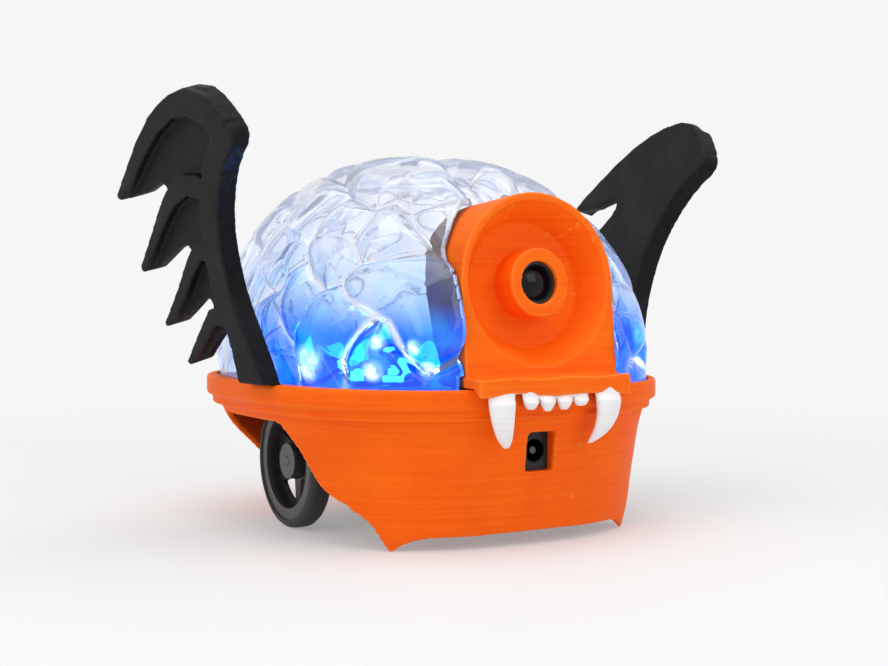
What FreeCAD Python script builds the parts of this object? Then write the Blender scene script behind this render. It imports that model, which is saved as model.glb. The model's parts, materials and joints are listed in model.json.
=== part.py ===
import FreeCAD, Part
import math
import os
import re
import sys
from FreeCAD import Vector, Placement, Rotation

# Two wheel robot car. Millimetres, +Z up, the car faces -Y, its left side is +X.
# All shapes are drawn in the axle frame: wheel axle above y = 0, floor at z = 0.
# The whole car is then shifted by origin_shift along Y, so that the origin is at the
# centre of the footprint box.

doc = FreeCAD.newDocument("robot_car")
sheet = doc.addObject("Spreadsheet::Sheet", "dims")
V = {}


def dim(alias, value):
    row = len(V) + 1
    sheet.set("A%d" % row, alias)
    sheet.set("B%d" % row, repr(value))
    sheet.setAlias("B%d" % row, alias)
    V[alias] = value


# overall
dim("origin_shift", 2.52)
# rim and hull shell
dim("rim_top", 44.8)
dim("rim_low", 38.8)
dim("rim_half_width", 64.2)
dim("rim_front", 69.0)
dim("rim_rear", 70.5)
dim("rim_centre_y", -1.0)
dim("rim_power_front", 2.65)
dim("rim_power_rear", 2.5)
dim("hull_wall", 2.2)
dim("deck_seat", 41.2)
dim("deck_thick", 2.0)
dim("ledge_half_width", 52.5)
dim("ledge_half_length", 61.5)
dim("foot_x", 39.8)
dim("foot_y", -51.4)
dim("seat_gap", 0.3)
# dome
dim("dome_half_width", 58.3)
dim("dome_half_length", 67.3)
dim("dome_height", 68.6)
dim("dome_power", 2.9)
dim("dome_power_up", 2.33)
dim("dome_wall", 1.6)
dim("dome_lean", 5.0)
dim("dome_slot_half", 25.9)
dim("dome_slot_back", -36.4)
# eye mask
dim("eye_y", -64.1)
dim("eye_z", 73.4)
dim("mask_half", 25.2)
dim("mask_wall", 2.2)
dim("mask_base", 44.95)
dim("mask_tilt", 5.0)
dim("mask_depth", 25.0)
dim("dish_r", 23.3)
dim("dish_floor_r", 17.7)
dim("dish_deep", 8.7)
dim("boss_r", 9.6)
dim("eye_hole_r", 6.0)
# wings
dim("wing_x", 62.6)
dim("wing_y", -8.0)
dim("wing_lean", 15.6)
dim("wing_yaw", 7.0)
dim("wing_thick", 6.0)
dim("web_thick", 3.2)
dim("tenon_thick", 2.6)
dim("tenon_x", 60.9)
dim("tenon_deep", 5.1)
# wheels
dim("wheel_r", 20.0)
dim("wheel_face", 48.3)
dim("wheel_width", 7.0)
dim("tyre_in_r", 17.5)
dim("rim_in_r", 14.2)
dim("hub_r", 5.6)
dim("shaft_r", 1.5)
# gearmotor
dim("gear_out_x", 40.0)
dim("gearbox_len", 9.0)
dim("gearbox_half_y", 5.0)
dim("gearbox_half_z", 6.0)
dim("can_len", 15.0)
dim("cap_len", 2.4)
dim("gear_module", 0.2)
dim("gear_offset", 3.2)
# front power jack
dim("jack_w", 9.0)
dim("jack_tall", 11.0)
dim("jack_z", 26.5)
dim("jack_face", -61.6)
dim("jack_len", 13.0)
# battery and boards
dim("battery_w", 56.0)
dim("battery_l", 26.0)
dim("battery_tall", 13.0)
dim("battery_y", -31.5)
dim("battery_z", 26.6)
dim("board_w", 50.0)
dim("board_l", 40.0)
dim("board_thick", 1.6)
dim("board_y", 35.0)
dim("board_z", 33.0)
dim("led_ring_r", 34.0)
dim("led_ring_in_r", 25.0)
dim("led_ring_y", 3.0)
dim("screw_r", 1.0)
dim("screw_head_r", 1.9)
doc.recompute()

FINAL = []


def ex(s):
    """The sheet's own names inside an expression get the sheet's prefix."""
    return re.sub(r"\b([a-z]\w*)\b", lambda m: "dims." + m.group(1) if m.group(1) in V else m.group(1), s)


def put(obj, prop, value):
    """Sets a number, or binds the property to an expression of the sheet."""
    if isinstance(value, str):
        obj.setExpression(prop, ex(value))
    elif "." in prop:
        obj.setExpression(prop, repr(float(value)))
    else:
        setattr(obj, prop, value)


def at(obj, x, y, z):
    put(obj, "Placement.Base.x", x)
    put(obj, "Placement.Base.y", y)
    put(obj, "Placement.Base.z", z)


def box(name, lx, ly, lz, x, y, z):
    """A box by its size and its lowest corner."""
    o = doc.addObject("Part::Box", name)
    put(o, "Length", lx)
    put(o, "Width", ly)
    put(o, "Height", lz)
    at(o, x, y, z)
    return o


ROT = {"z": Rotation(), "x": Rotation(Vector(0, 1, 0), 90), "y": Rotation(Vector(1, 0, 0), -90)}


def cyl(name, r, length, x, y, z, axis="z"):
    """A cylinder from its base point along +Z, +X or +Y."""
    o = doc.addObject("Part::Cylinder", name)
    put(o, "Radius", r)
    put(o, "Height", length)
    o.Placement = Placement(Vector(0, 0, 0), ROT[axis])
    at(o, x, y, z)
    return o


def cone(name, r1, r2, length, x, y, z, axis="z"):
    o = doc.addObject("Part::Cone", name)
    put(o, "Radius1", r1)
    put(o, "Radius2", r2)
    put(o, "Height", length)
    o.Placement = Placement(Vector(0, 0, 0), ROT[axis])
    at(o, x, y, z)
    return o


def fuse(name, *objs):
    o = doc.addObject("Part::MultiFuse", name)
    o.Shapes = list(objs)
    return o


def cut(name, base, *tools):
    o = doc.addObject("Part::Cut", name)
    o.Base = base
    o.Tool = tools[0] if len(tools) == 1 else fuse(name + "_tools", *tools)
    return o


def common(name, a, b):
    o = doc.addObject("Part::MultiCommon", name)
    o.Shapes = [a, b]
    return o


def group(name, *objs):
    """Several separate pieces of one kind, such as screws."""
    o = doc.addObject("Part::Compound", name)
    o.Links = list(objs)
    return o


def feature(name, shape):
    o = doc.addObject("Part::Feature", name)
    o.Shape = shape
    return o


def final(obj, label):
    """Marks a sub-part: its label names its file, and its placement moves to the origin's frame."""
    obj.Label = label
    FINAL.append((obj, label))
    return obj


# ---------------------------------------------------------------- plan curves
def oval(a, bf, br, yc, nf, nr, z, count=48):
    """A closed smooth oval: a superellipse with its own front and rear length and fullness."""
    pts = []
    for i in range(count):
        t = 2 * math.pi * (i + 0.5) / count
        c, s = math.cos(t), math.sin(t)
        n, b = (nf, bf) if s < 0 else (nr, br)
        pts.append(Vector(a * math.copysign(abs(c) ** (2 / n), c), yc + b * math.copysign(abs(s) ** (2 / n), s), z))
    c = Part.BSplineCurve()
    c.interpolate(Points=pts, PeriodicFlag=True)
    return Part.Wire([c.toShape()])


def prism(wire, z0, z1):
    f = Part.Face(wire)
    f.translate(Vector(0, 0, z0 - wire.BoundBox.ZMin))
    return f.extrude(Vector(0, 0, z1 - z0))


def interp(x, xs, ys):
    for i in range(len(xs) - 1):
        if x <= xs[i + 1]:
            t = (x - xs[i]) / (xs[i + 1] - xs[i])
            return ys[i] + t * (ys[i + 1] - ys[i])
    return ys[-1]


g = V
# how far the shell lies inside the rim's outline, at heights above the floor
LEVEL = [-0.6, 3.6, 8.0, 14.0, 20.0, 26.0, 32.0, 38.8]
FRONT_IN = [9.2, 8.5, 7.8, 7.0, 6.0, 5.1, 4.0, 2.7]
SIDE_IN = [8.6, 8.0, 7.5, 7.0, 6.4, 5.6, 4.7, 3.2]
REAR_IN = [46.0, 44.0, 40.0, 34.0, 27.0, 18.5, 9.5, 2.7]
REAR_POWER = [1.7, 1.7, 1.7, 1.75, 1.85, 2.1, 2.4, 2.5]


def shell_section(z, wall):
    f = interp(z, LEVEL, FRONT_IN) + wall
    s = interp(z, LEVEL, SIDE_IN) + wall
    r = interp(z, LEVEL, REAR_IN) + wall
    n = interp(z, LEVEL, REAR_POWER)
    return oval(g["rim_half_width"] - s, g["rim_front"] - f, g["rim_rear"] - r, g["rim_centre_y"], g["rim_power_front"], n, z)


def yz_prism(points, x0, x1, smooth=False):
    """An outline in the side view (y, z), run across the car."""
    p = [Vector(x0, y, z) for y, z in points]
    w = Part.makePolygon(p + [p[0]])
    return Part.Face(w).extrude(Vector(x1 - x0, 0, 0))


def xz_prism(points, y0, y1):
    p = [Vector(x, y0, z) for x, z in points]
    return Part.Face(Part.makePolygon(p + [p[0]])).extrude(Vector(0, y1 - y0, 0))


# ---------------------------------------------------------------- hull: one printed shell
outer = Part.makeLoft([shell_section(z, 0.0) for z in LEVEL], True, False)
inner = Part.makeLoft([shell_section(z, g["hull_wall"]) for z in LEVEL], True, False)
inner.translate(Vector(0, 0, 0))
walls = outer.cut(inner)
# wheel opening, right across the car: the front edge sweeps down to the pointed front feet
ARCH = [(-49.9, -2.0), (-49.5, 0.4), (-48.9, 2.4), (-47.8, 6.1), (-46.2, 8.3), (-41.5, 12.4), (-37.1, 14.5), (-34.0, 16.9), (-30.9, 21.6), (-27.8, 26.4),
        (-23.7, 30.1), (-20.4, 33.0), (-17.5, 33.8), (20.0, 33.8), (26.0, 33.4), (28.6, 31.5), (27.0, 27.0), (24.4, 21.0), (23.4, 17.0), (23.4, 13.0), (90.0, 13.0), (90.0, -2.0)]
walls = walls.cut(yz_prism(ARCH, -80, 80))
# lower edge of the bow: almost level between the feet, and down to a point at each foot
BOW = [(-60, -2), (60, -2), (60, -0.6), (42.0, -0.6), (40.6, 0.0), (39.0, 0.0), (37.2, 1.6), (34.5, 3.0), (30.0, 3.7), (0.0, 4.0), (-30.0, 3.7), (-34.5, 3.0), (-37.2, 1.6), (-39.0, 0.0), (-40.6, 0.0), (-42.0, -0.6), (-60, -0.6)]
walls = walls.cut(xz_prism(BOW, -80, -30))
walls = walls.cut(Part.makeBox(200, 200, 5, Vector(-100, -100, -5)))
rim_wire = oval(g["rim_half_width"], g["rim_front"], g["rim_rear"], g["rim_centre_y"], g["rim_power_front"], g["rim_power_rear"], g["rim_low"])
band = prism(rim_wire, g["rim_low"], g["rim_top"])
band = band.makeFillet(0.9, [e for e in band.Edges if abs(e.BoundBox.ZMax - e.BoundBox.ZMin) < 1e-3])
step_wire = oval(g["rim_half_width"] - 1.9, g["rim_front"] - 1.5, g["rim_rear"] - 1.5, g["rim_centre_y"], g["rim_power_front"], g["rim_power_rear"], g["rim_low"])
band = band.fuse(prism(step_wire, g["rim_low"] - 2.7, g["rim_low"] + 1.0))
gap = g["seat_gap"]
seat = prism(oval(g["dome_half_width"] + gap, g["dome_half_length"] + gap, g["dome_half_length"] + gap, g["rim_centre_y"], g["dome_power"], g["dome_power"], 0), g["deck_seat"], g["rim_top"] + 5)
# the ledge's underside slopes out to the wall
well_low = oval(g["rim_half_width"] - 3.2 - g["hull_wall"], g["rim_front"] - 2.7 - g["hull_wall"], g["rim_rear"] - 2.7 - g["hull_wall"], g["rim_centre_y"], g["rim_power_front"], g["rim_power_rear"], g["rim_low"] - 3.0)
well_top = oval(g["ledge_half_width"], g["ledge_half_length"], g["ledge_half_length"], g["rim_centre_y"], g["rim_power_front"], g["rim_power_rear"], g["rim_low"] + 0.6)
well = Part.makeLoft([well_low, well_top], True, True)
well_up = prism(well_top, g["rim_low"] + 0.6, g["rim_top"] + 5)
band = band.cut(seat).cut(well_up).cut(well)
hull_shape = walls.fuse(band)
# sleeve for the power jack in the bow
jw, jt, jz = g["jack_w"] / 2, g["jack_tall"] / 2, g["jack_z"]
sleeve = Part.makeBox(2 * jw + 3.2, 14.0, 2 * jt + 3.2, Vector(-jw - 1.6, -63.4, jz - jt - 1.6))
hull_shape = hull_shape.fuse(sleeve)
window = Part.makeBox(2 * jw + 0.1, 40.0, 2 * jt + 0.1, Vector(-jw - 0.05, -80, jz - jt - 0.05))
hull_shape = hull_shape.cut(window)
# deck screw bosses on the ledge, and sockets for the wing tenons
DECK_SCREWS = [(50.5, -30.0), (-50.5, -30.0), (50.5, 30.0), (-50.5, 30.0), (0.0, 62.6)]
for x, y in DECK_SCREWS:
    hull_shape = hull_shape.fuse(Part.makeCylinder(2.6, 4.6, Vector(x, y, g["deck_seat"] - 4.6)))
for x, y in DECK_SCREWS:
    hull_shape = hull_shape.cut(Part.makeCylinder(g["screw_r"], 4.0, Vector(x, y, g["deck_seat"] - 3.9)))
for s in (-1, 1):
    t = g["tenon_thick"] + 0.2
    hull_shape = hull_shape.cut(Part.makeBox(t, 10.9, 10, Vector(s * g["tenon_x"] - t / 2, -23.7, g["rim_top"] - g["tenon_deep"] - 0.1)))
hull_shape = hull_shape.removeSplitter()
final(feature("hull", hull_shape), "hull")

# ---------------------------------------------------------------- deck plate under the dome
deck_shape = prism(oval(g["dome_half_width"], g["dome_half_length"], g["dome_half_length"], g["rim_centre_y"], g["dome_power"], g["dome_power"], 0), g["deck_seat"], g["deck_seat"] + g["deck_thick"])
BRACKET_SCREWS = [(s * 36.0, y) for s in (-1, 1) for y in (-7.0, 7.0)]
BOARD_SCREWS = [(x, g["board_y"] + y) for x in (-22.0, 22.0) for y in (-17.0, 17.0)]
CRADLE_SCREWS = [(-31.5, g["battery_y"]), (31.5, g["battery_y"])]
MASK_SCREWS = [(-18.0, -53.0), (18.0, -53.0)]
RING_SCREWS = [(29.5 * math.cos(math.radians(a)), g["led_ring_y"] + 29.5 * math.sin(math.radians(a))) for a in (0.0, 120.0, 240.0)]
for x, y in DECK_SCREWS + BRACKET_SCREWS + BOARD_SCREWS + CRADLE_SCREWS + MASK_SCREWS:
    deck_shape = deck_shape.cut(Part.makeCylinder(g["screw_r"] + 0.1, 4, Vector(x, y, g["deck_seat"] - 1)))
for x, y in RING_SCREWS:
    deck_shape = deck_shape.cut(Part.makeCylinder(g["screw_r"], 4, Vector(x, y, g["deck_seat"] - 1)))
deck_shape = deck_shape.cut(Part.makeCylinder(4.0, 4, Vector(0, -44.0, g["deck_seat"] - 1)))
deck_shape = deck_shape.cut(Part.makeCylinder(3.0, 4, Vector(0, 14.0, g["deck_seat"] - 1)))
final(feature("deck_plate", deck_shape), "deck_plate")

# ---------------------------------------------------------------- clear dome with a slot for the eye mask
dz = g["deck_seat"] + g["deck_thick"]


def dome_solid(wall, z_low):
    """The dome's outer form, or its inner form for wall above 0: ovals that shrink upwards."""
    n = g["dome_power_up"]
    out = []
    top = g["dome_height"] - wall
    for k in (0.0, 0.12, 0.27, 0.42, 0.56, 0.68, 0.785, 0.87, 0.935, 0.978, 0.995):
        s = (1 - k ** n) ** (1 / n)
        out.append(oval((g["dome_half_width"] - wall) * s, (g["dome_half_length"] - wall) * s, (g["dome_half_length"] - wall) * s, g["rim_centre_y"] + g["dome_lean"] * k, g["dome_power"], g["dome_power"] - 0.5 * k, z_low + k * top))
    return Part.makeLoft(out, True, False)


dome_outer = dome_solid(0.0, dz)
dome_inner = dome_solid(g["dome_wall"], dz - 0.001)
flange = prism(oval(g["dome_half_width"] - 4.0, g["dome_half_length"] - 4.0, g["dome_half_length"] - 4.0, g["rim_centre_y"], g["dome_power"], g["dome_power"], 0), dz - 1, dz + 1.6)
flange_ring = prism(oval(g["dome_half_width"] - 0.8, g["dome_half_length"] - 0.8, g["dome_half_length"] - 0.8, g["rim_centre_y"], g["dome_power"], g["dome_power"], 0), dz, dz + 1.6).cut(flange)
dome_shape = dome_outer.cut(dome_inner).fuse(flange_ring)
sh = g["dome_slot_half"]
slot_box = Part.makeBox(2 * sh, 60, g["eye_z"] - 30, Vector(-sh, g["dome_slot_back"] - 60, 30))
slot_arc = Part.makeCylinder(sh, 60, Vector(0, g["dome_slot_back"] - 60, g["eye_z"]), Vector(0, 1, 0))
lip_relief = Part.makeBox(54.4, 40, 18.4, Vector(-27.2, -104.6, 30))
dome_shape = dome_shape.cut(slot_box.fuse(slot_arc)).cut(lip_relief)
for x, y in DECK_SCREWS:
    dome_shape = dome_shape.cut(Part.makeCylinder(g["screw_head_r"] + 0.4, 3.0, Vector(x, y, dz - 0.5)))
final(feature("dome", dome_shape), "dome")

# ---------------------------------------------------------------- eye mask (drawn upright, then tilted back about the eye)
e_out = fuse("mask_outline", box("mask_block", "2*mask_half", "mask_depth", "eye_z-mask_base+1.5", "-mask_half", "eye_y", "mask_base-1.5"),
             cyl("mask_arch", "mask_half", "mask_depth", 0, "eye_y", "eye_z", "y"))
e_in = fuse("mask_hollow", box("mask_hollow_block", "2*(mask_half-mask_wall)", 60, "eye_z-mask_base-3", "mask_wall-mask_half", "eye_y+2.4", "mask_base+3"),
            cyl("mask_hollow_arch", "mask_half-mask_wall", 60, 0, "eye_y+2.4", "eye_z", "y"))
dish_back = cone("dish_back", "dish_r+1.8", "dish_floor_r+2", "dish_deep+2", 0, "eye_y", "eye_z", "y")
dish_cut = cone("dish_cut", "dish_r", "dish_floor_r", "dish_deep", 0, "eye_y-0.001", "eye_z", "y")
boss = cyl("eye_boss", "boss_r", "dish_deep+1", 0, "eye_y-0.3", "eye_z", "y")
hole = cyl("eye_hole", "eye_hole_r", 40, 0, "eye_y-5", "eye_z", "y")
posts = [cyl("camera_post_%d" % i, 2.2, "20-dish_deep-1", sx * 12.0, "eye_y+dish_deep+1", "eye_z+%g" % (sz * 12.0), "y") for i, (sx, sz) in enumerate([(-1, -1), (1, -1), (-1, 1), (1, 1)])]
post_holes = [cyl("camera_post_hole_%d" % i, 0.9, 7, sx * 12.0, "eye_y+13.5", "eye_z+%g" % (sz * 12.0), "y") for i, (sx, sz) in enumerate([(-1, -1), (1, -1), (-1, 1), (1, 1)])]
back_trim = box("mask_back_trim", 80, 60, 80, -40, 0, 0)
back_trim.Placement = Placement(Vector(-40, 0, 0), Rotation(Vector(1, 0, 0), -13))
back_trim.setExpression("Placement.Base.y", ex("eye_y+mask_depth-12.5"))
back_trim.setExpression("Placement.Base.z", ex("mask_base-2"))
m1 = cut("mask_shell", e_out, e_in)
m2 = fuse("mask_with_dish", m1, dish_back)
m3 = cut("mask_dished", m2, dish_cut)
m4 = fuse("mask_with_boss", m3, boss, *posts)
m5 = cut("mask_bored", m4, hole, *post_holes)
m6 = cut("mask_trimmed", m5, back_trim)
m6.Placement = Placement(Vector(0, 0, 0), Rotation(Vector(1, 0, 0), 0))
doc.recompute()


def tilt_of(v):
    """The mask's tilt about the eye's centre."""
    r = Rotation(Vector(1, 0, 0), -v["mask_tilt"])
    p = Vector(0, v["eye_y"], v["eye_z"])
    return Placement(p - r.multVec(p), r)


TILT = tilt_of(g)


def tilted(obj):
    """Turns an upright piece about the eye's centre; the angle and both offsets follow the sheet."""
    obj.Placement = Placement(Vector(0, 0, 0), Rotation(Vector(1, 0, 0), 1))
    obj.setExpression("Placement.Rotation.Angle", ex("-mask_tilt"))
    obj.setExpression("Placement.Base.y", ex("eye_y-eye_y*cos(mask_tilt*1deg)-eye_z*sin(mask_tilt*1deg)"))
    obj.setExpression("Placement.Base.z", ex("eye_z-eye_z*cos(mask_tilt*1deg)+eye_y*sin(mask_tilt*1deg)"))
    return obj


tilted(m6)
doc.recompute()
# level underside that rests above the rim, a brow-like lip over the teeth, and two screw pads on the deck
floor_trim = box("mask_floor_trim", 90, 60, 30, -45, -90, "mask_base-30")
m7 = cut("mask_level", m6, floor_trim)
lip = box("mask_lip", 51.6, 6.4, 2.7, -25.8, -71.6, "mask_base")
pads = [cyl("mask_pad_%d" % i, 3.2, "mask_base+2-deck_seat-deck_thick", x, y, "deck_seat+deck_thick") for i, (x, y) in enumerate(MASK_SCREWS)]
pad_bars = box("mask_pad_bar", 46.6, 6.8, 2.4, -23.3, -56.4, "mask_base")
pad_holes = [cyl("mask_pad_hole_%d" % i, "screw_r", 3.0, x, y, "deck_seat+deck_thick-0.1") for i, (x, y) in enumerate(MASK_SCREWS)]
m8 = fuse("mask_lipped", m7, lip, pad_bars, *pads)
final(cut("eye_mask", m8, *pad_holes), "eye_mask")


# ---------------------------------------------------------------- teeth: one printed strip, two fangs and four small teeth
def horn(stations):
    """A curved tooth: ovals (x, y, z, half width, half depth) along a bent line."""
    ws = []
    for x, y, z, a, b in stations:
        e = Part.Ellipse(Vector(x, y, z), max(a, b), min(a, b))
        s = e.toShape()
        if b > a:
            s.rotate(Vector(x, y, z), Vector(0, 0, 1), 90)
        ws.append(Part.Wire([s]))
    return Part.makeLoft(ws, True, False)


teeth_shape = Part.makeBox(43, 1.9, 1.6, Vector(-21.5, -72.1, g["mask_base"] - 1.6))
for s in (-1, 1):
    teeth_shape = teeth_shape.fuse(horn([(s * 17.3, -72.0, g["mask_base"] - 0.2, 4.2, 2.1), (s * 17.7, -72.3, 41.0, 4.1, 2.3), (s * 17.5, -72.3, 37.0, 3.6, 2.0), (s * 16.5, -71.4, 33.0, 2.8, 1.7), (s * 15.0, -69.8, 30.0, 1.7, 1.2), (s * 14.0, -68.6, 28.5, 0.7, 0.6)]))
for x, dx, low in ((-8.4, 2.6, 39.0), (-2.9, 2.7, 38.4), (2.7, 2.7, 38.6), (8.2, 2.6, 39.4)):
    teeth_shape = teeth_shape.fuse(horn([(x, -72.1, g["mask_base"] - 0.2, dx, 1.6), (x, -72.4, 42.6, dx, 1.9), (x, -72.3, 40.4, dx * 0.8, 1.6), (x, -72.1, low, 0.9, 0.8)]))
final(feature("teeth", teeth_shape.removeSplitter()), "teeth")

# ---------------------------------------------------------------- wings: ribbed bat wings, a mirrored pair
# outline in the wing's own plane: run back from the axle, height up the lean
WING_FRONT = [(-17.2, 0.0), (-17.0, 3.4), (-16.1, 7.9), (-14.5, 14.9), (-13.0, 21.0), (-12.1, 27.0), (-12.0, 32.5), (-12.4, 38.0), (-13.6, 44.1), (-16.0, 50.1), (-19.7, 56.2), (-23.8, 61.2), (-28.1, 64.9), (-31.3, 66.9), (-33.3, 69.2), (-33.3, 71.5), (-31.8, 74.2), (-29.2, 77.4), (-25.2, 81.3), (-21.2, 83.8)]
WING_TOP = [(-14.4, 85.1), (-4.5, 84.1), (3.4, 82.0), (12.1, 78.7), (21.9, 73.3), (31.7, 66.9), (39.7, 61.4), (43.2, 58.0)]
WING_REAR = [(40.2, 57.0), (35.2, 57.3), (27.8, 57.9), (20.4, 59.6), (16.6, 60.1), (14.6, 58.9), (14.6, 56.7), (16.4, 54.1), (25.7, 46.7), (34.2, 40.0), (40.0, 35.7), (38.3, 34.5), (33.1, 35.0), (27.5, 37.0), (17.6, 40.6), (10.9, 41.7), (9.1, 40.0), (9.2, 37.5), (16.1, 32.3), (25.4, 24.9), (33.3, 18.7), (31.6, 17.6), (26.5, 18.3), (20.8, 20.6), (11.2, 24.8), (5.8, 25.8), (4.6, 24.1), (5.5, 21.5), (12.6, 16.7), (18.6, 12.3), (25.2, 6.8), (22.8, 5.9), (17.9, 6.9), (11.9, 10.6), (4.3, 15.2), (-4.1, 18.7), (-4.6, 11.9), (-4.1, 3.9), (-3.8, 0.0)]


def flat_face(pts):
    p = [Vector(s, t, 0) for s, t in pts]
    return Part.Face(Part.makePolygon(p + [p[0]]))


def rib(pts, widths, z0, z1):
    """A raised finger of the wing: capsules of changing width along a line, joined into one flat ridge."""
    out = None
    for (a, b), (w1, w2) in zip(zip(pts, pts[1:]), zip(widths, widths[1:])):
        d = (b[0] - a[0], b[1] - a[1])
        k = math.hypot(*d)
        n = (-d[1] / k, d[0] / k)
        quad = [(a[0] + n[0] * w1, a[1] + n[1] * w1), (b[0] + n[0] * w2, b[1] + n[1] * w2), (b[0] - n[0] * w2, b[1] - n[1] * w2), (a[0] - n[0] * w1, a[1] - n[1] * w1)]
        s = flat_face(quad).extrude(Vector(0, 0, z1 - z0))
        s.translate(Vector(0, 0, z0))
        s = s.fuse(Part.makeCylinder(w2, z1 - z0, Vector(b[0], b[1], z0)))
        out = s if out is None else out.fuse(s)
    return out


def wing(side):
    t = g["wing_thick"]
    web = flat_face(WING_FRONT + WING_TOP + WING_REAR).extrude(Vector(0, 0, g["web_thick"]))
    sheet_all = flat_face(WING_FRONT + WING_TOP + WING_REAR).extrude(Vector(0, 0, t))
    ribs = [
        ([(-10.4, 0.0), (-9.8, 9.8), (-8.4, 19.9), (-7.2, 29.9), (-7.9, 40.0), (-11.5, 50.0), (-18.7, 59.1), (-26.8, 66.2), (-30.2, 70.3)], [8, 7.4, 6.2, 5.2, 5.0, 5.2, 6.2, 6.5, 3.5]),
        ([(-28.7, 71.3), (-22.6, 77.8), (-13.7, 81.2), (-3.0, 80.9), (7.7, 77.3), (19.2, 71.4), (30.7, 64.1), (40.7, 58.3)], [4.5, 4.4, 3.8, 3.3, 3.0, 2.7, 2.3, 1.4]),
        ([(-15.4, 54.1), (-8.4, 58.1), (-0.6, 59.1), (9.1, 55.9), (19.6, 49.3), (29.1, 42.2), (37.6, 35.8)], [4.0, 3.4, 2.9, 2.6, 2.3, 2.0, 1.2]),
        ([(-9.9, 37.5), (-4.9, 40.4), (0.9, 40.2), (8.5, 34.9), (16.6, 28.2), (24.7, 22.4), (31.4, 18.2)], [3.6, 3.0, 2.6, 2.3, 2.1, 1.8, 1.1]),
        ([(-8.4, 17.9), (-3.0, 21.3), (1.9, 20.9), (9.0, 16.1), (16.2, 11.0), (22.8, 6.6)], [3.4, 2.8, 2.4, 2.1, 1.8, 1.1]),
    ]
    raised = None
    for pts, ws in ribs:
        r = rib(pts, ws, 0, t)
        raised = r if raised is None else raised.fuse(r)
    raised = raised.common(sheet_all)
    w = web.fuse(raised).removeSplitter()
    # stand the flat wing up: local x runs back, local y up, local z out of the car
    w.translate(Vector(0, 0, -t / 2))
    place = Placement(Vector(0, 0, 0), Rotation(Vector(0, 1, 0), Vector(0, 0, 1), Vector(1, 0, 0), "XYZ"))
    w = w.copy()
    w.Placement = Placement(Vector(g["wing_x"], g["wing_y"], g["rim_top"] + 0.05), Rotation(Vector(0, 0, 1), -g["wing_yaw"]).multiply(Rotation(Vector(0, 1, 0), g["wing_lean"]))).multiply(place)
    foot_cut = Part.makeBox(60, 120, 40, Vector(40, -60, g["rim_top"] + 0.05 - 40))
    w = w.cut(foot_cut)
    t2 = g["tenon_thick"]
    tenon = Part.makeBox(t2, 10.5, g["tenon_deep"] + 0.55, Vector(g["tenon_x"] - t2 / 2, -23.5, g["rim_top"] - g["tenon_deep"]))
    w = w.fuse(tenon).removeSplitter()
    if side < 0:
        w = w.mirror(Vector(0, 0, 0), Vector(1, 0, 0))
    return w


final(feature("wing_left", wing(1)), "wing_left")
final(feature("wing_right", wing(-1)), "wing_right")


# ---------------------------------------------------------------- wheels (drawn on the X axis, outer face outwards)
def plane(body, role):
    return next(o for o in body.Origin.OriginFeatures if o.Role == role)


def profile(body, name, pts, role):
    """A closed outline whose corners are dimensioned from the sheet."""
    import Sketcher
    sk = body.newObject("Sketcher::SketchObject", name)
    sk.AttachmentSupport = [(plane(body, role), "")]
    sk.MapMode = "FlatFace"
    num = []
    for a, b in pts:
        num.append((value(a), value(b)))
    n = len(pts)
    for i in range(n):
        a, b = num[i], num[(i + 1) % n]
        sk.addGeometry(Part.LineSegment(Vector(a[0], a[1], 0), Vector(b[0], b[1], 0)), False)
    for i in range(n):
        sk.addConstraint(Sketcher.Constraint("Coincident", i, 2, (i + 1) % n, 1))
    for i in range(n):
        for kind, e, v, axis in (("DistanceX", pts[i][0], num[i][0], -2), ("DistanceY", pts[i][1], num[i][1], -1)):
            if abs(v) < 1e-9:
                sk.addConstraint(Sketcher.Constraint("PointOnObject", i, 1, axis))
            else:
                c = sk.addConstraint(Sketcher.Constraint(kind, -1, 1, i, 1, v))
                if isinstance(e, str):
                    sk.setExpression("Constraints[%d]" % c, ex(e))
    return sk


def value(e):
    """The number that an expression of the sheet has now."""
    if not isinstance(e, str):
        return float(e)
    total, sign = 0.0, 1.0
    for tok in re.findall(r"[+-]|[^+-]+", e.replace(" ", "")):
        if tok in "+-":
            sign = 1.0 if tok == "+" else -1.0
            continue
        num = 1.0
        for k, f in enumerate(re.split(r"([*/])", tok)):
            if f in "*/":
                op = f
                continue
            x = V[f] if f in V else float(f)
            num = x if k == 0 else (num * x if op == "*" else num / x)
        total += sign * num
    return total


def body(name):
    return doc.addObject("PartDesign::Body", name)


def revolve(b, sk, name):
    r = b.newObject("PartDesign::Revolution", name)
    r.Profile = sk
    r.ReferenceAxis = (sk, ["H_Axis"])
    r.Angle = 360.0
    return r


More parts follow.
